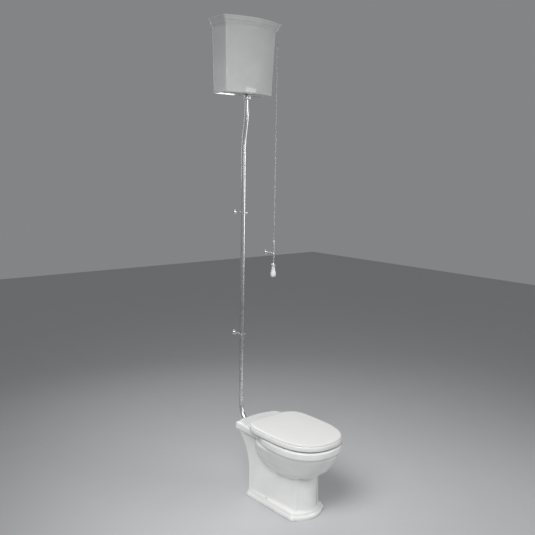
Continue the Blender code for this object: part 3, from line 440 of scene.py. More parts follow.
def plain_brass(finishes):
    """Turned brass that is never polished: warm, satin, and browner in patches."""
    tree, shader, place = new_material("turned brass", Metallic=1.0)
    # Patches 17 mm across, and turning marks 0.4 mm apart
    tarnish = noise(tree, place, 60.0, 6.0, 0.65)
    dull = tuple(c * 0.45 for c in finishes.brass)
    body = two_tone(tree, finishes.brass, dull, spread(tree, tarnish, 0.0, 1.0, 0.45, 0.75))
    marks = bump(tree, noise(tree, place, 2500.0, 1.0), 0.2, 0.00005)
    connect(tree, shader, Base_Color=body, Roughness=spread(tree, tarnish, 0.24, 0.48), Normal=marks)


def turned_steel(finishes):
    """Stainless steel as it comes off the lathe and the press: grey, satin, with fine lines."""
    tree, shader, place = new_material("stainless steel", Metallic=1.0)
    # Lines 0.6 mm apart and 20 times as long
    lines = noise(tree, stretched(tree, place, (0.05, 1.0, 1.0)), 1800.0, 3.0)
    body = shaded(tree, finishes.steel, spread(tree, lines, 0.8, 1.05))
    connect(tree, shader, Base_Color=body, Roughness=spread(tree, lines, 0.22, 0.38))


def shade_dark_steel(finishes):
    """Steel coloured nearly black as painted shade, so the foot screws read as dark holes; the foot
    brackets get it too. It has a dull oily sheen and rubbed spots.
    """
    tree, shader, place = new_material("shade-darkened steel", Metallic=0.6)
    # Rubbed spots 8 mm across
    rubbed = noise(tree, place, 120.0, 4.0)
    # Painted shade: mostly the rubber's near-black, with lighter rubbed spots of steel
    body = two_tone(tree, finishes.rubber, finishes.steel, spread(tree, rubbed, 0.0, 1.0, 0.62, 0.8))
    connect(tree, shader, Base_Color=body, Roughness=spread(tree, rubbed, 0.35, 0.55))


def black_rubber(finishes):
    """Moulded black rubber: matt, with a grey bloom and a fine pitted skin."""
    tree, shader, place = new_material("black rubber", IOR=1.5)
    # Bloom 11 mm across, and pits 1.1 mm apart
    bloom = noise(tree, place, 90.0, 5.0)
    grey = tuple(c * 2.6 + 0.01 for c in finishes.rubber)
    body = two_tone(tree, finishes.rubber, grey, spread(tree, bloom, 0.0, 1.0, 0.5, 0.8))
    pits = bump(tree, noise(tree, place, 900.0, 2.0), 0.3, 0.0001)
    connect(tree, shader, Base_Color=body, Roughness=spread(tree, bloom, 0.5, 0.75), Normal=pits)


def moulded_plastic(finishes):
    """White ABS and acetal: injection moulded, satin, with flow marks and a faint fine texture."""
    tree, shader, place = new_material("moulded white plastic", IOR=1.49)
    # Flow marks 33 mm long, and a 0.9 mm grain
    flow = noise(tree, place, 30.0, 3.0, distortion=1.2)
    body = shaded(tree, finishes.plastic, spread(tree, flow, 0.93, 1.0))
    grain = bump(tree, noise(tree, place, 1100.0, 2.0), 0.15, 0.00006)
    connect(tree, shader, Base_Color=body, Roughness=spread(tree, flow, 0.28, 0.42), Normal=grain)


def floor_paint(finishes):
    """Plain pale floor: an even matt surface with a barely seen mottle."""
    tree, shader, place = new_material("pale floor", Roughness=0.75)
    # Mottle 200 mm across
    mottle = spread(tree, noise(tree, place, 5.0, 3.0), 0.96, 1.0)
    connect(tree, shader, Base_Color=shaded(tree, finishes.floor, mottle))


# The CAD nodes that keep their shape, by material
KEPT_NODES = {
    "moulded white plastic": ("seat_nut_left", "seat_nut_right", "siphon_body", "siphon_plunger",
                              "lever_fork"),
    "polished chrome plate": ("clip_screw_upper", "clip_screw_lower", "lever_pin"),
    "turned brass": ("siphon_rod", "siphon_link", "valve_body", "valve_back_nut", "float_arm"),
    # Steel coloured nearly black: painted shade on the foot screws, so their holes read dark, and on
    # the foot brackets
    "stainless steel": ("hinge_pin_left", "hinge_pin_right", "seat_bolt_left", "seat_bolt_right"),
    "shade-darkened steel": ("foot_bracket_left", "foot_bracket_right", "foot_screw_left",
                        "foot_screw_right"),
    "black rubber": ("siphon_washer", "siphon_diaphragm", "tail_washer", "valve_washer",
                     "hinge_washer_left", "hinge_washer_right", "seat_buffer_back_left",
                     "seat_buffer_back_right", "seat_buffer_front_left", "seat_buffer_front_right",
                     "lid_buffer_left", "lid_buffer_right"),
}


class TOILET_OT_finishes(bpy.types.Operator):
    """Makes the finishes, and gives them to the pieces of the frame that keep their shape"""
    bl_idname = "toilet.finishes"
    bl_label = "Finishes"

    def execute(self, context):
        finishes = context.scene.toilet_finishes
        for make in (glazed_china, moulded_seat, plated_chrome, plain_brass, turned_steel,
                     shade_dark_steel, black_rubber, moulded_plastic, floor_paint):
            make(finishes)
        for material, nodes in KEPT_NODES.items():
            for name in nodes:
                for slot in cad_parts[name].material_slots:
                    slot.material = bpy.data.materials[material]
        return {"FINISHED"}


# ---------------------------------------------------------------- stage

class TOILET_OT_stage(bpy.types.Operator):
    """Makes the floor, the soft lights and the camera"""
    bl_idname = "toilet.stage"
    bl_label = "Stage"

    def execute(self, context):
        self.camera(context)
        self.floor()
        self.lights(context)
        return {"FINISHED"}

    def camera(self, context):
        yaw, pitch, roll = math.radians(39.93), math.radians(-8.31), math.radians(1.01)
        deselect()
        bpy.ops.object.camera_add(location=(-2.3051, -2.7496, 1.7957))
        camera = context.object
        camera.name = "camera"
        camera.data.sensor_width = 36.0
        camera.data.lens = 45.16
        turn = Matrix.Rotation(-yaw, 3, "Z") @ Matrix.Rotation(math.pi / 2 + pitch, 3, "X")
        camera.rotation_euler = (turn @ Matrix.Rotation(roll, 3, "Z")).to_euler()
        context.scene.camera = camera

    def floor(self):
        deselect()
        bpy.ops.mesh.primitive_plane_add(size=16.0, location=(0, 0, -0.0004))
        floor = bpy.context.object
        floor.name = floor.data.name = "floor"
        bpy.ops.object.transform_apply(location=True)
        floor.data.materials.append(bpy.data.materials["pale floor"])

    def lights(self, context):
        # A soft key above the pan, and weaker ones for its front, for the cistern and for the back
        lamps = (("key", (-1.7, -1.1, 2.6), (0.0, -0.20, 0.20), 1.5, 15.0, 80),
                 ("fill", (1.6, -2.6, 1.5), (0.0, -0.20, 0.30), 1.4, 9.0, 120),
                 ("high", (-1.5, -2.3, 2.6), (0.0, 0.20, 2.30), 1.2, 3.6, 90),
                 ("behind", (0.8, 2.6, 2.4), (0.0, 0.10, 1.20), 1.6, 8.0, 120))
        for name, place, aim, size, watts, spread in lamps:
            deselect()
            bpy.ops.object.light_add(type="AREA", location=place)
            lamp = context.object
            lamp.name = name
            lamp.data.size = size
            lamp.data.energy = watts
            lamp.data.spread = math.radians(spread)
            lamp.rotation_euler = (Vector(aim) - Vector(place)).to_track_quat("-Z", "Y").to_euler()
        world = bpy.data.worlds.new("studio")
        world.use_nodes = True
        glow = world.node_tree.nodes["Background"]
        glow.inputs["Color"].default_value = (*linear_colour("#b4b5b7"), 1)
        glow.inputs["Strength"].default_value = 0.5
        context.scene.world = world
        context.scene.view_settings.view_transform = "Standard"


# ---------------------------------------------------------------- chain

def wire_link(name, half_width, half_height, wire, place, turned_by=0.0):
    """One link: a wire ring pulled out to an oval, in the YZ plane, or turned about Z."""
    deselect()
    bend = half_width - wire / 2
    bpy.ops.mesh.primitive_torus_add(major_segments=12, minor_segments=6, major_radius=bend,
                                     minor_radius=wire / 2, location=(0, 0, 0))
    link = bpy.context.object
    link.name = link.data.name = name
    half_step = Matrix.Rotation(math.pi / 12, 4, "Z")
    upright = Matrix.Rotation(math.pi / 2, 4, "Z") @ Matrix.Rotation(math.pi / 2, 4, "X")
    link.data.transform(upright @ half_step)
    stretch = half_height - half_width
    for corner in link.data.vertices:
        corner.co.z += math.copysign(stretch, corner.co.z)
    link.data.transform(Matrix.Translation(place) @ Matrix.Rotation(turned_by, 4, "Z"))
    return link


class TOILET_OT_chain(bpy.types.Operator):
    """Hangs the pull chain, link by link, from the lever's ring to the rod's ring"""
    bl_idname = "toilet.chain"
    bl_label = "Chain"

    def execute(self, context):
        sizes = context.scene.toilet_chain
        low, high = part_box("chain")
        half = 0.0047
        pitch = (high.z - low.z - 2 * half) / (sizes.links - 1)
        strands = []
        for first, angle in ((0, 0.0), (1, math.pi / 2)):
            place = (PULL_X, LEVER_Y, high.z - half - first * pitch)
            link = wire_link(f"links_{first}", sizes.diameter / 2, half, sizes.wire, place, angle)
            apply_modifier(link, "ARRAY", count=sizes.links // 2, use_relative_offset=False,
                           use_constant_offset=True, constant_offset_displace=(0, 0, -2 * pitch))
            strands.append(link)
        deselect()
        for strand in strands:
            strand.select_set(True)
        context.view_layer.objects.active = strands[0]
        bpy.ops.object.join()
        chain = context.object
        chain.name = chain.data.name = "pull_chain"
        finished(chain, CHROME, "pull", "chain", angle=60)
        return {"FINISHED"}


# ---------------------------------------------------------------- pan

def back_line(z):
    """The pedestal's back edge leans towards the wall as it rises to the shelf."""
    rise = max(0.0, (z - 0.10) / 0.275)
    return 0.006 + 0.071 * rise ** 2.3


def foot_ring(z, grow=0.0, back_y=0.010):
    return bowed_box(0.1255 + grow, back_y, -0.366 - grow, 0.043, 0.012, z, 0.1185 + grow)


def pedestal_ring(z, spread=0.0, grow=0.0):
    return bowed_box(0.1145 + spread + grow, back_line(z) + grow, -0.360 - grow, 0.034,
                     0.015 + grow / 2, z, 0.082 + spread + grow)


def pedestal():
    """The stand: a stepped foot with a rounded moulding, a waist, and a flare out to the shelf."""
    foot = [foot_ring(z, grow, 0.010 + grow * 0.4) for z, grow in (
        (0.0, -0.001), (0.0015, 0.0), (0.0140, 0.0), (0.0175, -0.0008), (0.0205, -0.0026),
        (0.0222, -0.0050), (0.0228, -0.0074), (0.0245, -0.0080), (0.0285, -0.0076),
        (0.0315, -0.0080), (0.0345, -0.0092), (0.0370, -0.0112))]
    waist = [pedestal_ring(z, 0.0, grow) for z, grow in (
        (0.0425, 0.0018), (0.0465, 0.0006), (0.0520, 0.0))]
    flare = []
    for i in range(31):
        z = 0.06 + (0.378 - 0.06) * i / 30
        flare.append(pedestal_ring(z, max(0.0, (z - 0.19) / 0.188) ** 2.2 * 0.029))
    return skin("pedestal", foot + waist + flare)


def shelf():
    """The slab behind the seat: a bowed back edge rounded over, a cove below, and a raised ledge."""
    profile = [(-0.018, 0.365), (-0.010, 0.369), (-0.005, 0.373), (-0.002, 0.377), (0.0, 0.381)]
    profile += levels(SHELF_Z, (0.0, -0.0100), (-0.0012, -0.0055), (-0.0035, -0.0025),
                      (-0.0065, -0.0007), (-0.0100, 0.0))
    rings = []
    for grow, z in profile:
        ring = bowed_box(0.150 + grow, 0.150, -0.084 - grow, 0.020, 0.012, z)
        rings.append([Vector((p.x, -p.y, p.z)) for p in ring])
    landing = block("seat_landing", (-0.200, -0.200, RIM_Z), (0.200, LEDGE_Y, SHELF_Z + 0.010))
    return combine(skin("shelf", rings), "DIFFERENCE", landing)


def rim_ring(sizes, inset, z):
    return egg(sizes.rim_half_width - inset, -sizes.rim_front + inset, -0.060 - inset, -0.300, z, 2.3)


def bowl_outside(sizes):
    """The rim band, the step below it and the rounded underside of the bowl."""
    rings = [rim_ring(sizes, inset, z) for inset, z in (
        (0.0090, RIM_Z), (0.0052, 0.4074), (0.0024, 0.4060), (0.0006, 0.4035), (0.0, 0.4010),
        (0.0, 0.3780), (0.0010, 0.3735), (0.0035, 0.3695), (0.0070, 0.3665), (0.0098, 0.3635))]
    side = [(0.1765, -0.5075, -0.045, -0.298, 0.358),
            (0.1755, -0.5060, -0.040, -0.296, 0.350),
            (0.1655, -0.4935, -0.035, -0.290, 0.325),
            (0.1555, -0.4805, -0.030, -0.284, 0.300),
            (0.1445, -0.4660, -0.030, -0.278, 0.275),
            (0.1320, -0.4480, -0.038, -0.270, 0.255),
            (0.1215, -0.4240, -0.056, -0.255, 0.240),
            (0.1115, -0.3970, -0.080, -0.242, 0.225),
            (0.0985, -0.3660, -0.110, -0.232, 0.210),
            (0.0700, -0.3100, -0.150, -0.226, 0.195)]
    rings += [egg(*row, 2.2, 3.4) for row in eased(side)]
    return skin("bowl_outside", rings)


def bowl_inside(sizes):
    """The open bowl: under the rim's rounded lip it widens into the flushing channel, then narrows
    to the water."""
    lip = 0.056
    profile = levels(RIM_Z, (lip - 0.0080, 0.010), (lip - 0.0080, 0.0005), (lip - 0.0045, -0.0010),
                     (lip - 0.0018, -0.0032), (lip - 0.0004, -0.0062), (lip, -0.010))
    profile += [(lip, 0.3735), (lip - 0.0012, 0.3706), (lip - 0.0040, 0.3690), (lip - 0.0070, 0.3700),
                (lip - 0.0090, 0.3730), (lip - 0.0095, 0.3880), (lip - 0.0120, 0.3915),
                (0.0260, 0.3915), (0.0225, 0.3890), (0.0230, 0.3760), (0.0270, 0.3660)]
    rings = [rim_ring(sizes, inset, z) for inset, z in profile]
    side = [(0.1595, -0.4900, -0.090, -0.2985, 0.362),
            (0.1570, -0.4870, -0.104, -0.297, 0.345),
            (0.1500, -0.4770, -0.112, -0.295, 0.320),
            (0.1410, -0.4640, -0.124, -0.293, 0.295),
            (0.1280, -0.4440, -0.142, -0.290, 0.270),
            (0.1110, -0.4180, -0.166, -0.286, 0.245),
            (0.0920, -0.3800, -0.192, -0.280, 0.220),
            (0.0710, -0.3600, -0.214, -0.280, 0.190),
            (0.0540, -0.3440, -0.226, -0.282, 0.155),
            (0.0450, -0.3240, -0.232, -0.278, 0.125),
            (0.0300, -0.3040, -0.246, -0.274, 0.112)]
    rings += [egg(*row) for row in eased(side)]
    return skin("bowl_inside", rings)


def bowl_shell():
    """What the hollow stand leaves round the bowl."""
    china = 0.011
    rings = [egg(half_width + china, front - china, back + china, wide, z, count=72)
             for half_width, front, back, wide, z in (
                 (0.1600, -0.4900, -0.098, -0.297, 0.400), (0.1560, -0.4840, -0.102, -0.297, 0.345),
                 (0.1440, -0.4680, -0.120, -0.293, 0.295), (0.1190, -0.4350, -0.160, -0.289, 0.245),
                 (0.0760, -0.3800, -0.212, -0.285, 0.190), (0.0560, -0.3500, -0.224, -0.282, 0.155),
                 (0.0460, -0.3250, -0.230, -0.278, 0.112), (0.0380, -0.3150, -0.238, -0.276, 0.102))]
    return skin("bowl_shell", rings)


def trap(name, radius, end_z):
    """A bar along the trap's way: up from the water, over the weir and down to the floor."""
    rise = [Vector((0, -0.285, 0.146)), Vector((0, -0.240, 0.150)), Vector((0, -0.205, 0.166)),
            Vector((0, -0.178, 0.198))]
    weir = Vector((0, -0.114, 0.214))
    over = [weir + 0.052 * Vector((0, math.cos(a), math.sin(a)))
            for a in (math.radians(d) for d in (150, 120, 90, 60, 30, 0))]
    line = [Vector(p) for p in eased(rise + over + [(0, -0.062, 0.150), (0, -0.062, end_z)], 2)]
    return skin(name, bar_rings(line, [radius] * len(line)))


def stand_hollow():
    """The space inside the stand, open to the floor, around the bowl, the trap and the inlet."""
    rings = [foot_ring(z, -0.013, -0.004) for z in (-0.010, 0.008)]
    rings += [pedestal_ring(z, spread, -0.011) for z, spread in (
        (0.030, 0.0), (0.15, 0.0), (0.23, 0.0), (0.30, 0.007), (0.345, 0.016), (0.362, 0.020))]
    hollow = skin("stand_hollow", rings)
    shell = rod("inlet_shell", 0.034, 0.0, 0.150, (0, -0.060, INLET_Z), Y_AXIS)
    return combine(hollow, "DIFFERENCE", bowl_shell(), trap("trap_shell", 0.044, 0.030), shell)


def inlet_bore():
    """The socket for the flush cone, and the duct from it up into the rim's channel."""
    line = [Vector((0, y, INLET_Z + rise)) for y, rise in (
        (INLET_END_Y + 0.010, 0), (0.030, 0), (0.018, 0), (-0.030, 0.012), (-0.085, 0.042))]
    return skin("inlet_bore", bar_rings(line, [0.0240, 0.0240, 0.014, 0.013, 0.013]))


def soften(piece, low, high, reach, passes):
    """Rounds the meeting of the bowl and the stand, as slip-cast china has it."""
    group = piece.vertex_groups.new(name="soft")
    middle, half = (low + high) / 2, (high - low) / 2
    for corner in piece.data.vertices:
        edge = min(1.0, max(0.0, (half - abs(corner.co.z - middle)) / 0.02))
        side = min(1.0, max(0.0, (reach + 0.02 - corner.co.y) / 0.02))
        if edge * side:
            group.add([corner.index], edge * side, "REPLACE")
    apply_modifier(piece, "SMOOTH", factor=0.5, iterations=passes, vertex_group="soft")
    piece.vertex_groups.clear()


class TOILET_OT_pan(bpy.types.Operator):
    """Casts the china pan: stand, shelf and bowl in one, hollow below, with trap and inlet"""
    bl_idname = "toilet.pan"
    bl_label = "Pan"

    def execute(self, context):
        sizes = context.scene.toilet_pan
        boss = turned("inlet_boss", [(0.034, 0.0), (0.034, 0.058), (0.033, 0.062), (0.031, 0.064)],
                      (0, INLET_END_Y - 0.064, INLET_Z), Y_AXIS)
        pan = combine(pedestal(), "UNION", shelf(), bowl_outside(sizes), boss)
        pan.name = pan.data.name = "china_pan"
        apply_modifier(pan, "REMESH", mode="VOXEL", voxel_size=sizes.china_grain)
        apply_modifier(pan, "SMOOTH", factor=0.5, iterations=3)
        soften(pan, 0.14, 0.372, -0.02, 22)
        combine(pan, "DIFFERENCE", stand_hollow(), bowl_inside(sizes), trap("trap_bore", 0.034, 0.020),
                inlet_bore())
        for side, name in SIDES:
            screw_way = rod(f"screw_way_{name}", 0.0045, -0.026, 0.02,
                            (side * FIXING_X, FIXING_Y, FIXING_Z), (side, 0, 0))
            hinge_way = rod(f"hinge_way_{name}", 0.007, -0.06, 0.02,
                            (side * sizes.hinge_spacing, HINGE_Y, RIM_Z))
            combine(pan, "DIFFERENCE", screw_way, hinge_way)
        finished(pan, CHINA, "toilet", "pan", angle=40)
        return {"FINISHED"}


# ---------------------------------------------------------------- seat, lid and hinges

def seat_outline(half_width, front_y, back_y, inset, z):
    """The shared outline of the seat and the lid: an oval front and a nearly square back."""
    return egg(half_width - inset, front_y + inset, back_y - inset, SEAT_WIDE_Y, z, 2.4, 5.0, 192)


def barrel(name, x, half_length):
    return disc(name, 0.0070, half_length, 0.0006, (x, HINGE_Y, HINGE_Z), X_AXIS)


def pin_way(name, x):
    return rod(name, 0.00335, -0.020, 0.020, (x, HINGE_Y, HINGE_Z), X_AXIS)


class TOILET_OT_seat(bpy.types.Operator):
    """Moulds the seat: an oval ring with rounded edges and two hinge barrels"""
    bl_idname = "toilet.seat"
    bl_label = "Seat"

    def execute(self, context):
        low, high = SEAT_LOW_Z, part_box("seat_ring")[1].z
        outside = levels(low, (0.0045, 0.0), (0.0020, 0.0005), (0.0005, 0.0020), (0.0, 0.0045))
        outside += levels(high, (0.0, -0.0085), (0.0006, -0.0055), (0.0022, -0.0030),
                          (0.0050, -0.0012), (0.0090, -0.0003), (0.0140, 0.0), (0.0300, 0.0))
        inside = levels(high, (0.0240, -0.0004), (0.0170, -0.0014), (0.0110, -0.0030),
                        (0.0060, -0.0053), (0.0024, -0.0080), (0.0005, -0.0110))
        inside += levels(low, (0.0, 0.0050), (0.0006, 0.0025), (0.0024, 0.0006), (0.0050, 0.0))
        rings = [seat_outline(0.1755, -0.5050, -0.041, inset, z) for inset, z in outside]
        rings += [egg(0.112 + grow, -0.448 - grow, -0.128 + grow, SEAT_WIDE_Y, z, 2.1, 2.4, 192)
                  for grow, z in inside]
        ring = skin("seat", rings, closed=True)
        for side, name in SIDES:
            x = side * (context.scene.toilet_pan.hinge_spacing + 0.0130)
            lug = block(f"seat_lug_{name}", (x - 0.006, -0.050, HINGE_Z - 0.006),
                        (x + 0.006, HINGE_Y - 0.002, HINGE_Z + 0.004), 0.001)
            combine(ring, "UNION", lug, barrel(f"seat_barrel_{name}", x, 0.006))
            combine(ring, "DIFFERENCE", pin_way(f"seat_way_{name}", x))
        finished(ring, SEAT, "seat", "seat_ring")
        return {"FINISHED"}


class TOILET_OT_lid(bpy.types.Operator):
    """Moulds the lid: a crowned panel with a groove round its edge and a skirt over the seat"""
    bl_idname = "toilet.lid"
    bl_label = "Lid"

    def execute(self, context):
        sizes = context.scene.toilet_lid
        spacing = context.scene.toilet_pan.hinge_spacing
        under, wall, low, top = 0.4390, 0.0045, sizes.skirt, sizes.top
        profile = levels(under, (0.130, 0.0), (wall + 0.0050, 0.0), (wall + 0.0018, -0.0008),
                         (wall + 0.0004, -0.0024), (wall, -0.0050))
        profile += levels(low, (wall, 0.0012), (wall - 0.0006, 0.0004), (wall - 0.0016, 0.0),
                          (0.0018, 0.0), (0.0006, 0.0004), (0.0, 0.0018))
        profile += levels(top, (0.0, -0.0125), (0.0004, -0.0105), (0.0014, -0.0086),
                          (0.0034, -0.0074), (0.0060, -0.0069), (0.0105, -0.0066), (0.0115, -0.0062),
                          (0.0115, -0.0044), (0.0105, -0.0040), (0.0040, -0.0036), (0.0031, -0.0032),
                          (0.0029, -0.0025), (0.0034, -0.0015), (0.0050, -0.0005), (0.0078, 0.0001),
                          (0.0120, 0.0006), (0.0180, 0.0009), (0.0300, 0.0012), (0.0550, 0.0015),
                          (0.0850, 0.0021), (0.1200, 0.0024), (0.1500, 0.0025))
        lid = skin("lid", [seat_outline(sizes.half_width, -0.5140, -0.031, inset, z)
                           for inset, z in profile])
        notch = spacing + 0.026
        notch_low, notch_high = (-notch, -0.0405, low - 0.005), (notch, 0.0, under)
        combine(lid, "DIFFERENCE", block("lid_notch", notch_low, notch_high))
        for side, name in SIDES:
            x = side * (spacing - 0.0125)
            lug = block(f"lid_lug_{name}", (x - 0.0055, -0.0395, HINGE_Z + 0.004),
                        (x + 0.0055, HINGE_Y - 0.001, under + 0.0015))
            combine(lid, "UNION", lug, barrel(f"lid_barrel_{name}", x, 0.0055))
            combine(lid, "DIFFERENCE", pin_way(f"lid_way_{name}", x))
        finished(lid, SEAT, "lid", "seat_lid")
        return {"FINISHED"}


class TOILET_OT_hinges(bpy.types.Operator):
    """Turns the hinge posts, each with its flared foot and its barrel"""
    bl_idname = "toilet.hinges"
    bl_label = "Hinge posts"

    def execute(self, context):
        spacing = context.scene.toilet_pan.hinge_spacing
        for side, name in SIDES:
            x = side * spacing
            foot = [(0.0118, 0.0), (0.0125, 0.0006), (0.0125, 0.0016), (0.0118, 0.0024),
                    (0.0096, 0.0033), (0.0075, 0.0045), (0.0062, 0.0065), (0.0055, 0.0100)]
            post = turned(f"post_{name}", foot, (x, HINGE_Y, RIM_Z + 0.0016))
            combine(post, "UNION", barrel(f"post_barrel_{name}", x, 0.0060))
            combine(post, "DIFFERENCE", pin_way(f"post_way_{name}", x))
            finished(post, PLASTIC, "toilet", f"hinge_post_{name}")
        return {"FINISHED"}


# ---------------------------------------------------------------- cistern

def taper(z):
    """Half width and side depth of the cistern's outside at height z."""
    share = (z - 2.197) / (2.534 - 2.197)
    return 0.156 + 0.013 * share, 0.119 + 0.009 * share


def cistern_ring(grow, z, bow=0.036, plan_z=None):
    half_width, depth = taper(plan_z or z)
    back = WALL_Y if grow >= 0 else WALL_Y + grow
    return bowed_box(half_width + grow, back, WALL_Y - depth - grow, bow,
                     0.008 + max(0.0, grow) / 3, z)


class TOILET_OT_cistern(bpy.types.Operator):
    """Casts the cistern: a tapered china box with a bowed front and a moulded cornice"""
    bl_idname = "toilet.cistern"
    bl_label = "Cistern"

    def execute(self, context):
        low, high = CISTERN_LOW.z, CISTERN_HIGH.z
        wall = -0.009
        profile = levels(low, (wall - 0.006, 0.010), (wall - 0.0020, 0.0115), (wall, 0.016))
        profile += [(wall, z) for z in (2.28, 2.37, 2.46, 2.52)]
        profile += levels(high, (wall + 0.0015, -0.0030), (wall + 0.0028, -0.0008),
                          (wall + 0.0045, 0.0), (0.0132, 0.0), (0.0146, -0.0006), (0.0154, -0.0018),
                          (0.0155, -0.0035), (0.0148, -0.0056), (0.0128, -0.0080),
                          (0.0098, -0.0110), (0.0066, -0.0140), (0.0041, -0.0170),
                          (0.0022, -0.0200), (0.0008, -0.0235))
        profile += [(0.0, z) for z in (2.529, 2.50, 2.45, 2.40, 2.35, 2.30, 2.25)]
        profile += levels(low, (0.0, 0.0060), (-0.0006, 0.0034), (-0.0022, 0.0014), (-0.0050, 0.0))
        body = skin("china_cistern", [cistern_ring(grow, z) for grow, z in profile])
        tail = rod("tail_way", 0.0155, -0.02, 0.02, (0, TAIL_Y, low + 0.005))
        supply = rod("supply_way", 0.0078, 0.12, 0.20, (0, 0.264, 2.455), X_AXIS)
        slot = block("lever_way", (0.130, LEVER_Y - 0.004, LEVER_Z - 0.015),
                     (0.190, LEVER_Y + 0.004, LEVER_Z + 0.007))
        screws = [rod(f"wall_way_{name}", 0.004, -0.03, 0.02, (side * 0.100, WALL_Y, 2.510), Y_AXIS)
                  for side, name in SIDES]
        combine(body, "DIFFERENCE", tail, supply, slot, *screws)
        finished(body, CHINA, "toilet", "cistern_body", angle=30)
        return {"FINISHED"}


class TOILET_OT_cistern_lid(bpy.types.Operator):
    """Casts the cistern's lid: the cornice's upper moulding, with a lip that locates it"""
    bl_idname = "toilet.cistern_lid"
    bl_label = "Cistern lid"

    def execute(self, context):
        base, plan_z = 2.5578, 2.534
        profile = levels(base, (-0.030, 0.011), (-0.0180, 0.011), (-0.0166, 0.0095),
                         (-0.0135, -0.0055), (-0.0124, -0.0070), (-0.0104, -0.0070),
                         (-0.0094, -0.0055), (-0.0086, 0.0), (0.0138, 0.0), (0.0150, 0.0006),
                         (0.0166, 0.0022), (0.0178, 0.0045), (0.0192, 0.0070), (0.0212, 0.0095),
                         (0.0238, 0.0120), (0.0262, 0.0140), (0.0276, 0.0155), (0.0284, 0.0172),
                         (0.0285, 0.0190), (0.0280, 0.0206), (0.0268, 0.0219), (0.0248, 0.0229))
        profile += levels(CISTERN_TOP_Z, (0.0215, -0.0022), (0.0160, -0.0010), (0.0050, -0.0004),
                          (-0.0150, -0.0001), (-0.0450, 0.0))
        rings = [cistern_ring(grow, z, 0.038, plan_z) for grow, z in profile]
        finished(skin("china_cistern_lid", rings), CHINA, "cistern_lid", "cistern_lid", angle=30)
        return {"FINISHED"}


# ---------------------------------------------------------------- flush pipe

def pipe_line():
    """Down from the cistern, back to the wall, down to the pan and forward into its inlet."""
    top = [Vector((0, TAIL_Y, 2.170)), Vector((0, TAIL_Y, 2.140)), Vector((0, TAIL_Y, 2.115))]
    offset = []
    for i in range(1, 24):
        share = i / 24
        ease = share * share * (3 - 2 * share)
        offset.append(Vector((0, TAIL_Y + (PIPE_Y - TAIL_Y) * ease, 2.115 - 0.205 * share)))
    bend = 0.100
    centre = Vector((0, PIPE_Y - bend, INLET_Z + bend))
    straight = [Vector((0, PIPE_Y, z)) for z in (1.910, 1.7, 1.5, 1.3, 1.1, 0.9, 0.7, 0.55)]
    turn = [centre + bend * Vector((0, math.cos(a), -math.sin(a)))
            for a in (math.pi / 2 * i / 28 for i in range(29))]
    return top + offset + straight + turn + [Vector((0, INLET_END_Y - 0.050, INLET_Z))]


class TOILET_OT_flush_pipe(bpy.types.Operator):
    """Bends the flush pipe, and turns its nuts and its rubber cone"""
    bl_idname = "toilet.flush_pipe"
    bl_label = "Flush pipe"

    def execute(self, context):
        sizes = context.scene.toilet_pipe
        line = pipe_line()
        outside = bar_rings(line, [sizes.radius] * len(line), 36)
        inside = bar_rings(line, [sizes.bore] * len(line), 36)
        pipe = skin("bent_pipe", outside + inside[::-1], closed=True)
        finished(pipe, CHROME, "toilet", "flush_pipe")
        cone = turned("inlet_cone", [
            (sizes.radius + 0.0003, -0.034), (0.0225, -0.034), (0.0236, -0.030), (0.0237, -0.004),
            (0.0228, -0.0012), (0.0200, 0.0), (0.0160, 0.0), (sizes.radius + 0.0003, -0.0010)],
            (0, INLET_END_Y, INLET_Z), Y_AXIS, closed=True)
        finished(cone, RUBBER, "toilet", "flush_cone")
        self.nuts()
        return {"FINISHED"}

    def nuts(self):
        place = Vector((0, TAIL_Y, CISTERN_LOW.z))
        # The coupling nut: a knurled skirt of 24 ribs under a plain collar
        profile = [(0.0165, -0.0300), (0.0178, -0.0292), (0.0195, -0.0272), (0.0195, -0.0120),
                   (0.0190, -0.0108), (0.0180, -0.0096), (0.0172, -0.0090)]
        corners, rib, knurled_from = 96, 0.0006, 0.0185
        rings = []
        for radius, height in profile:
            ring = []
            for i in range(corners):
                raised = rib * (1 if i % 4 in (0, 1) else -1) if radius > knurled_from else 0.0
                angle = 2 * math.pi * i / corners
                reach = radius - rib + raised
                ring.append(place + Vector((reach * math.cos(angle), reach * math.sin(angle), height)))
            rings.append(ring)
        union = skin("coupling_nut", rings)
        bore = [(0.0134, -0.04), (0.0134, -0.0265), (0.0150, -0.0263), (0.0150, 0.0)]
        combine(union, "DIFFERENCE", turned("union_way", bore, place))
        finished(union, CHROME, "toilet", "pipe_union_nut")
        corner = 0.0380 / math.sqrt(3)
        nut = turned("back_nut", [(corner - 0.0016, -0.0085), (corner, -0.0077), (corner, -0.0031),
                                  (corner - 0.0016, -0.0023)], place, sides=6)
        combine(nut, "DIFFERENCE", rod("back_nut_way", 0.0149, -0.02, 0.0, place))
        finished(nut, CHROME, "toilet", "tail_back_nut")


ROSE = [(0.0138, 0.0), (0.0145, 0.0008), (0.0145, 0.0036), (0.0141, 0.0056), (0.0130, 0.0084),
        (0.0113, 0.0108), (0.0092, 0.0126), (0.0066, 0.0138), (0.0050, 0.0145), (0.0040, 0.0152),
        (0.0036, 0.0162)]


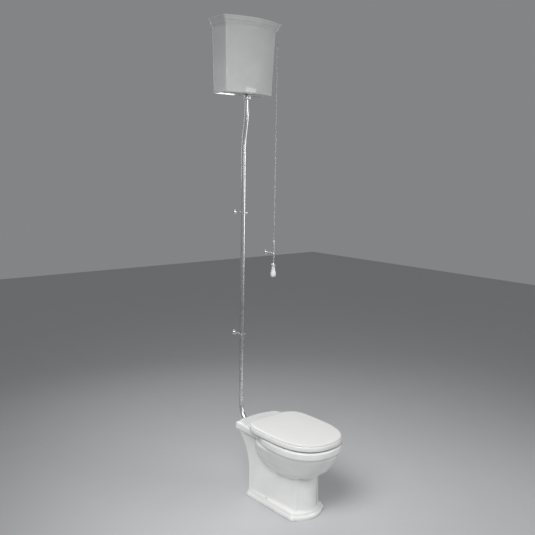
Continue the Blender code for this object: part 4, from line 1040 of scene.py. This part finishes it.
class TOILET_OT_pipe_clips(bpy.types.Operator):
    """Turns the two pipe clips: a rose on the wall with its stem, and a split ring"""
    bl_idname = "toilet.pipe_clips"
    bl_label = "Pipe clips"

    def execute(self, context):
        pipe = context.scene.toilet_pipe.radius
        for name, z in (("upper", 1.553), ("lower", 0.855)):
            stem = ROSE + [(0.0036, WALL_Y - PIPE_Y - pipe - 0.0040)]
            rose = turned(f"rose_{name}", stem, (0, WALL_Y, z), (0, -1, 0))
            finished(rose, CHROME, "toilet", f"clip_rose_{name}")
            ring = turned(f"pipe_ring_{name}", [
                (pipe + 0.0003, -0.0055), (pipe + 0.0023, -0.0055), (pipe + 0.0033, -0.0043),
                (pipe + 0.0033, 0.0043), (pipe + 0.0023, 0.0055), (pipe + 0.0003, 0.0055)],
                (0, PIPE_Y, z), closed=True)
            ears = block("ears", (pipe + 0.0015, PIPE_Y - 0.0035, z - 0.0045),
                         (pipe + 0.0110, PIPE_Y + 0.0035, z + 0.0045), 0.0008)
            split = block("split", (pipe - 0.002, PIPE_Y - 0.0006, z - 0.01),
                          (pipe + 0.0150, PIPE_Y + 0.0006, z + 0.01))
            screw = rod("screw_way", 0.0019, -0.01, 0.01, (pipe + 0.0072, PIPE_Y, z), Y_AXIS)
            combine(ring, "UNION", ears)
            combine(ring, "DIFFERENCE", split, screw)
            finished(ring, CHROME, "toilet", f"clip_ring_{name}")
        return {"FINISHED"}


# ---------------------------------------------------------------- lever, pull and guide

def eye(name, x, z, radius, thickness):
    return disc(name, radius, thickness / 2, 0.0004, (x, LEVER_Y, z), Y_AXIS)


def eye_way(name, x, z, radius):
    return rod(name, radius, -0.01, 0.01, (x, LEVER_Y, z), Y_AXIS)


class TOILET_OT_lever(bpy.types.Operator):
    """Forges the flush lever with its eyes, and the plate it passes through"""
    bl_idname = "toilet.lever"
    bl_label = "Lever"

    def execute(self, context):
        inner_x, half = 0.060, 0.0016
        lever = block("lever_arm", (inner_x + 0.004, LEVER_Y - half, LEVER_Z - 0.004),
                      (LEVER_END_X - 0.004, LEVER_Y + half, LEVER_Z + 0.004), 0.0007)
        combine(lever, "UNION", eye("inner_eye", inner_x, LEVER_Z, 0.0080, half * 1.8),
                eye("outer_eye", LEVER_END_X, LEVER_Z, 0.0080, half * 1.8),
                eye("boss", PIVOT_X, LEVER_Z, 0.0065, half * 2.8))
        combine(lever, "DIFFERENCE", eye_way("inner_way", inner_x, LEVER_Z, 0.0042),
                eye_way("outer_way", LEVER_END_X, LEVER_Z, 0.0042),
                eye_way("pivot_way", PIVOT_X, LEVER_Z, 0.00235))
        finished(lever, CHROME, "lever", "flush_lever")
        low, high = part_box("lever_escutcheon")
        plate = block("slot_plate", low, high, 0.0006)
        way_low = (low.x - 0.01, LEVER_Y - 0.0032, LEVER_Z - 0.0160)
        way_high = (high.x + 0.01, LEVER_Y + 0.0032, LEVER_Z + 0.0070)
        combine(plate, "DIFFERENCE", block("plate_way", way_low, way_high))
        finished(plate, CHROME, "toilet", "lever_escutcheon")
        return {"FINISHED"}


class TOILET_OT_pull(bpy.types.Operator):
    """Makes the pull: two rings, the rod, the handle's cap and its china knob"""
    bl_idname = "toilet.pull"
    bl_label = "Pull"

    def execute(self, context):
        self.rings()
        x = PULL_X
        rod_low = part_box("pull_rod")[0].z
        stem = [(0.0026, rod_low), (0.0026, 1.2535), (0.0036, 1.2537), (0.0040, 1.2542)]
        stem += levels(ROD_TOP_Z, (0.0040, -0.0120), (0.0038, -0.0090), (0.0030, -0.0060))
        pull_rod = turned("rod", stem, (x, LEVER_Y, 0))
        combine(pull_rod, "UNION", eye("rod_eye", x, ROD_TOP_Z - 0.0035, 0.0060, 0.0030))
        combine(pull_rod, "DIFFERENCE", eye_way("rod_way", x, ROD_TOP_Z - 0.0035, 0.0030))
        finished(pull_rod, CHROME, "pull", "pull_rod")
        cap = turned("cap", [(0.0080, 1.2345), (0.0118, 1.2352), (0.0135, 1.2365), (0.0143, 1.2382),
                             (0.0145, 1.2402), (0.0142, 1.2424), (0.0132, 1.2444), (0.0110, 1.2468),
                             (0.0092, 1.2490), (0.0080, 1.2512), (0.0070, 1.2533)], (x, LEVER_Y, 0))
        combine(cap, "DIFFERENCE", rod("cap_way", 0.0029, 1.22, 1.27, (x, LEVER_Y, 0)))
        finished(cap, CHROME, "pull", "handle_cap")
        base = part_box("pull_handle")[0].z
        profile = [(0.0030, base)] + levels(
            base, (0.0075, 0.0006), (0.0125, 0.0034), (0.0156, 0.0085), (0.0169, 0.0160),
            (0.0160, 0.0260), (0.0130, 0.0380), (0.0103, 0.0490), (0.0093, 0.0570),
            (0.0098, 0.0625), (0.0088, 0.0648))
        knob = turned("knob", eased(profile), (x, LEVER_Y, 0))
        combine(knob, "DIFFERENCE", rod("knob_way", 0.0029, rod_low - 0.0003, 1.26, (x, LEVER_Y, 0)))
        finished(knob, CHINA, "pull", "pull_handle")
        return {"FINISHED"}

    def rings(self):
        for name, z, half_width, half_height, wire, node in (
                ("top_ring", LEVER_Z - 0.0127, 0.00525, 0.0137, 0.0024, "lever_ring"),
                ("low_ring", ROD_TOP_Z + 0.0058, 0.0050, 0.0090, 0.0022, "rod_ring")):
            ring = wire_link(name, half_width, half_height, wire, (PULL_X, LEVER_Y, z))
            apply_modifier(ring, "SUBSURF", levels=1, render_levels=1)
            finished(ring, CHROME, "pull", node, angle=60)


class TOILET_OT_guide(bpy.types.Operator):
    """Turns the guide on the wall: a rose, and an arm with the ring that the rod slides through"""
    bl_idname = "toilet.guide"
    bl_label = "Pull guide"

    def execute(self, context):
        x = PULL_X
        rose = turned("guide_base", [
            (0.0142, 0.0), (0.0150, 0.0008), (0.0150, 0.0036), (0.0146, 0.0056), (0.0134, 0.0085),
            (0.0116, 0.0108), (0.0096, 0.0123), (0.0072, 0.0134), (0.0056, 0.0139), (0.0050, 0.0140)],
            (x, WALL_Y, GUIDE_Z), (0, -1, 0))
        finished(rose, CHROME, "toilet", "guide_rose")
        arm = turned("guide_stem", [(0.0032, 0.0143), (0.0032, WALL_Y - LEVER_Y - 0.0075)],
                     (x, WALL_Y, GUIDE_Z), (0, -1, 0))
        ring = turned("guide_ring", [(0.0086, -0.0035), (0.0096, -0.0031), (0.0103, -0.0022),
                                     (0.0105, -0.0008), (0.0105, 0.0008), (0.0103, 0.0022),
                                     (0.0096, 0.0031), (0.0086, 0.0035)], (x, LEVER_Y, GUIDE_Z))
        combine(arm, "UNION", ring)
        combine(arm, "DIFFERENCE", rod("guide_way", 0.0058, -0.01, 0.01, (x, LEVER_Y, GUIDE_Z)))
        finished(arm, CHROME, "toilet", "guide_arm")
        return {"FINISHED"}


class TOILET_OT_float(bpy.types.Operator):
    """Blows the float: a smooth ball with a moulding seam round it"""
    bl_idname = "toilet.float"
    bl_label = "Float"

    def execute(self, context):
        low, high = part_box("float_ball")
        centre = (low + high) / 2
        droop, radius, seam, steps = math.radians(33), 0.0378, 0.0002, 36
        along = Vector((-math.cos(droop), 0, -math.sin(droop)))
        profile = []
        for i in range(1, steps):
            angle = math.pi * i / steps
            reach = radius + (seam if i == steps // 2 else 0.0)
            profile.append((reach * math.sin(angle), -reach * math.cos(angle)))
        ball = turned("float", profile, centre, along)
        finished(ball, PLASTIC, "float", "float_ball")
        return {"FINISHED"}


# ---------------------------------------------------------------- panel and registration

class TOILET_PT_panel(bpy.types.Panel):
    """Lists the steps that build the toilet"""
    bl_idname = "TOILET_PT_panel"
    bl_label = "High-level toilet"
    bl_space_type = "VIEW_3D"
    bl_region_type = "UI"
    bl_category = "Toilet"

    def draw(self, context):
        for name in PROPERTY_GROUPS:
            group = getattr(context.scene, name)
            box = self.layout.box()
            for key in group.__annotations__:
                box.prop(group, key)
        for operator in OPERATORS:
            self.layout.operator(operator.bl_idname)


PROPERTY_GROUPS = {
    "toilet_pan": PanSizes,
    "toilet_lid": LidSizes,
    "toilet_pipe": PipeSizes,
    "toilet_chain": ChainSizes,
    "toilet_finishes": Finishes,
}
OPERATORS = (TOILET_OT_finishes, TOILET_OT_stage, TOILET_OT_chain, TOILET_OT_pan, TOILET_OT_seat,
             TOILET_OT_lid, TOILET_OT_hinges, TOILET_OT_cistern, TOILET_OT_cistern_lid,
             TOILET_OT_flush_pipe, TOILET_OT_pipe_clips, TOILET_OT_lever, TOILET_OT_pull,
             TOILET_OT_guide, TOILET_OT_float)
CLASSES = (*PROPERTY_GROUPS.values(), *OPERATORS, TOILET_PT_panel)


def register():
    for cls in CLASSES:
        bpy.utils.register_class(cls)
    for name, group in PROPERTY_GROUPS.items():
        setattr(bpy.types.Scene, name, PointerProperty(type=group))


def unregister():
    for name in PROPERTY_GROUPS:
        delattr(bpy.types.Scene, name)
    for cls in reversed(CLASSES):
        bpy.utils.unregister_class(cls)


def main():
    register()
    for operator in OPERATORS:
        step = operator.bl_idname.split(".")[1]
        getattr(bpy.ops.toilet, step)()


if __name__ == "__main__":
    main()
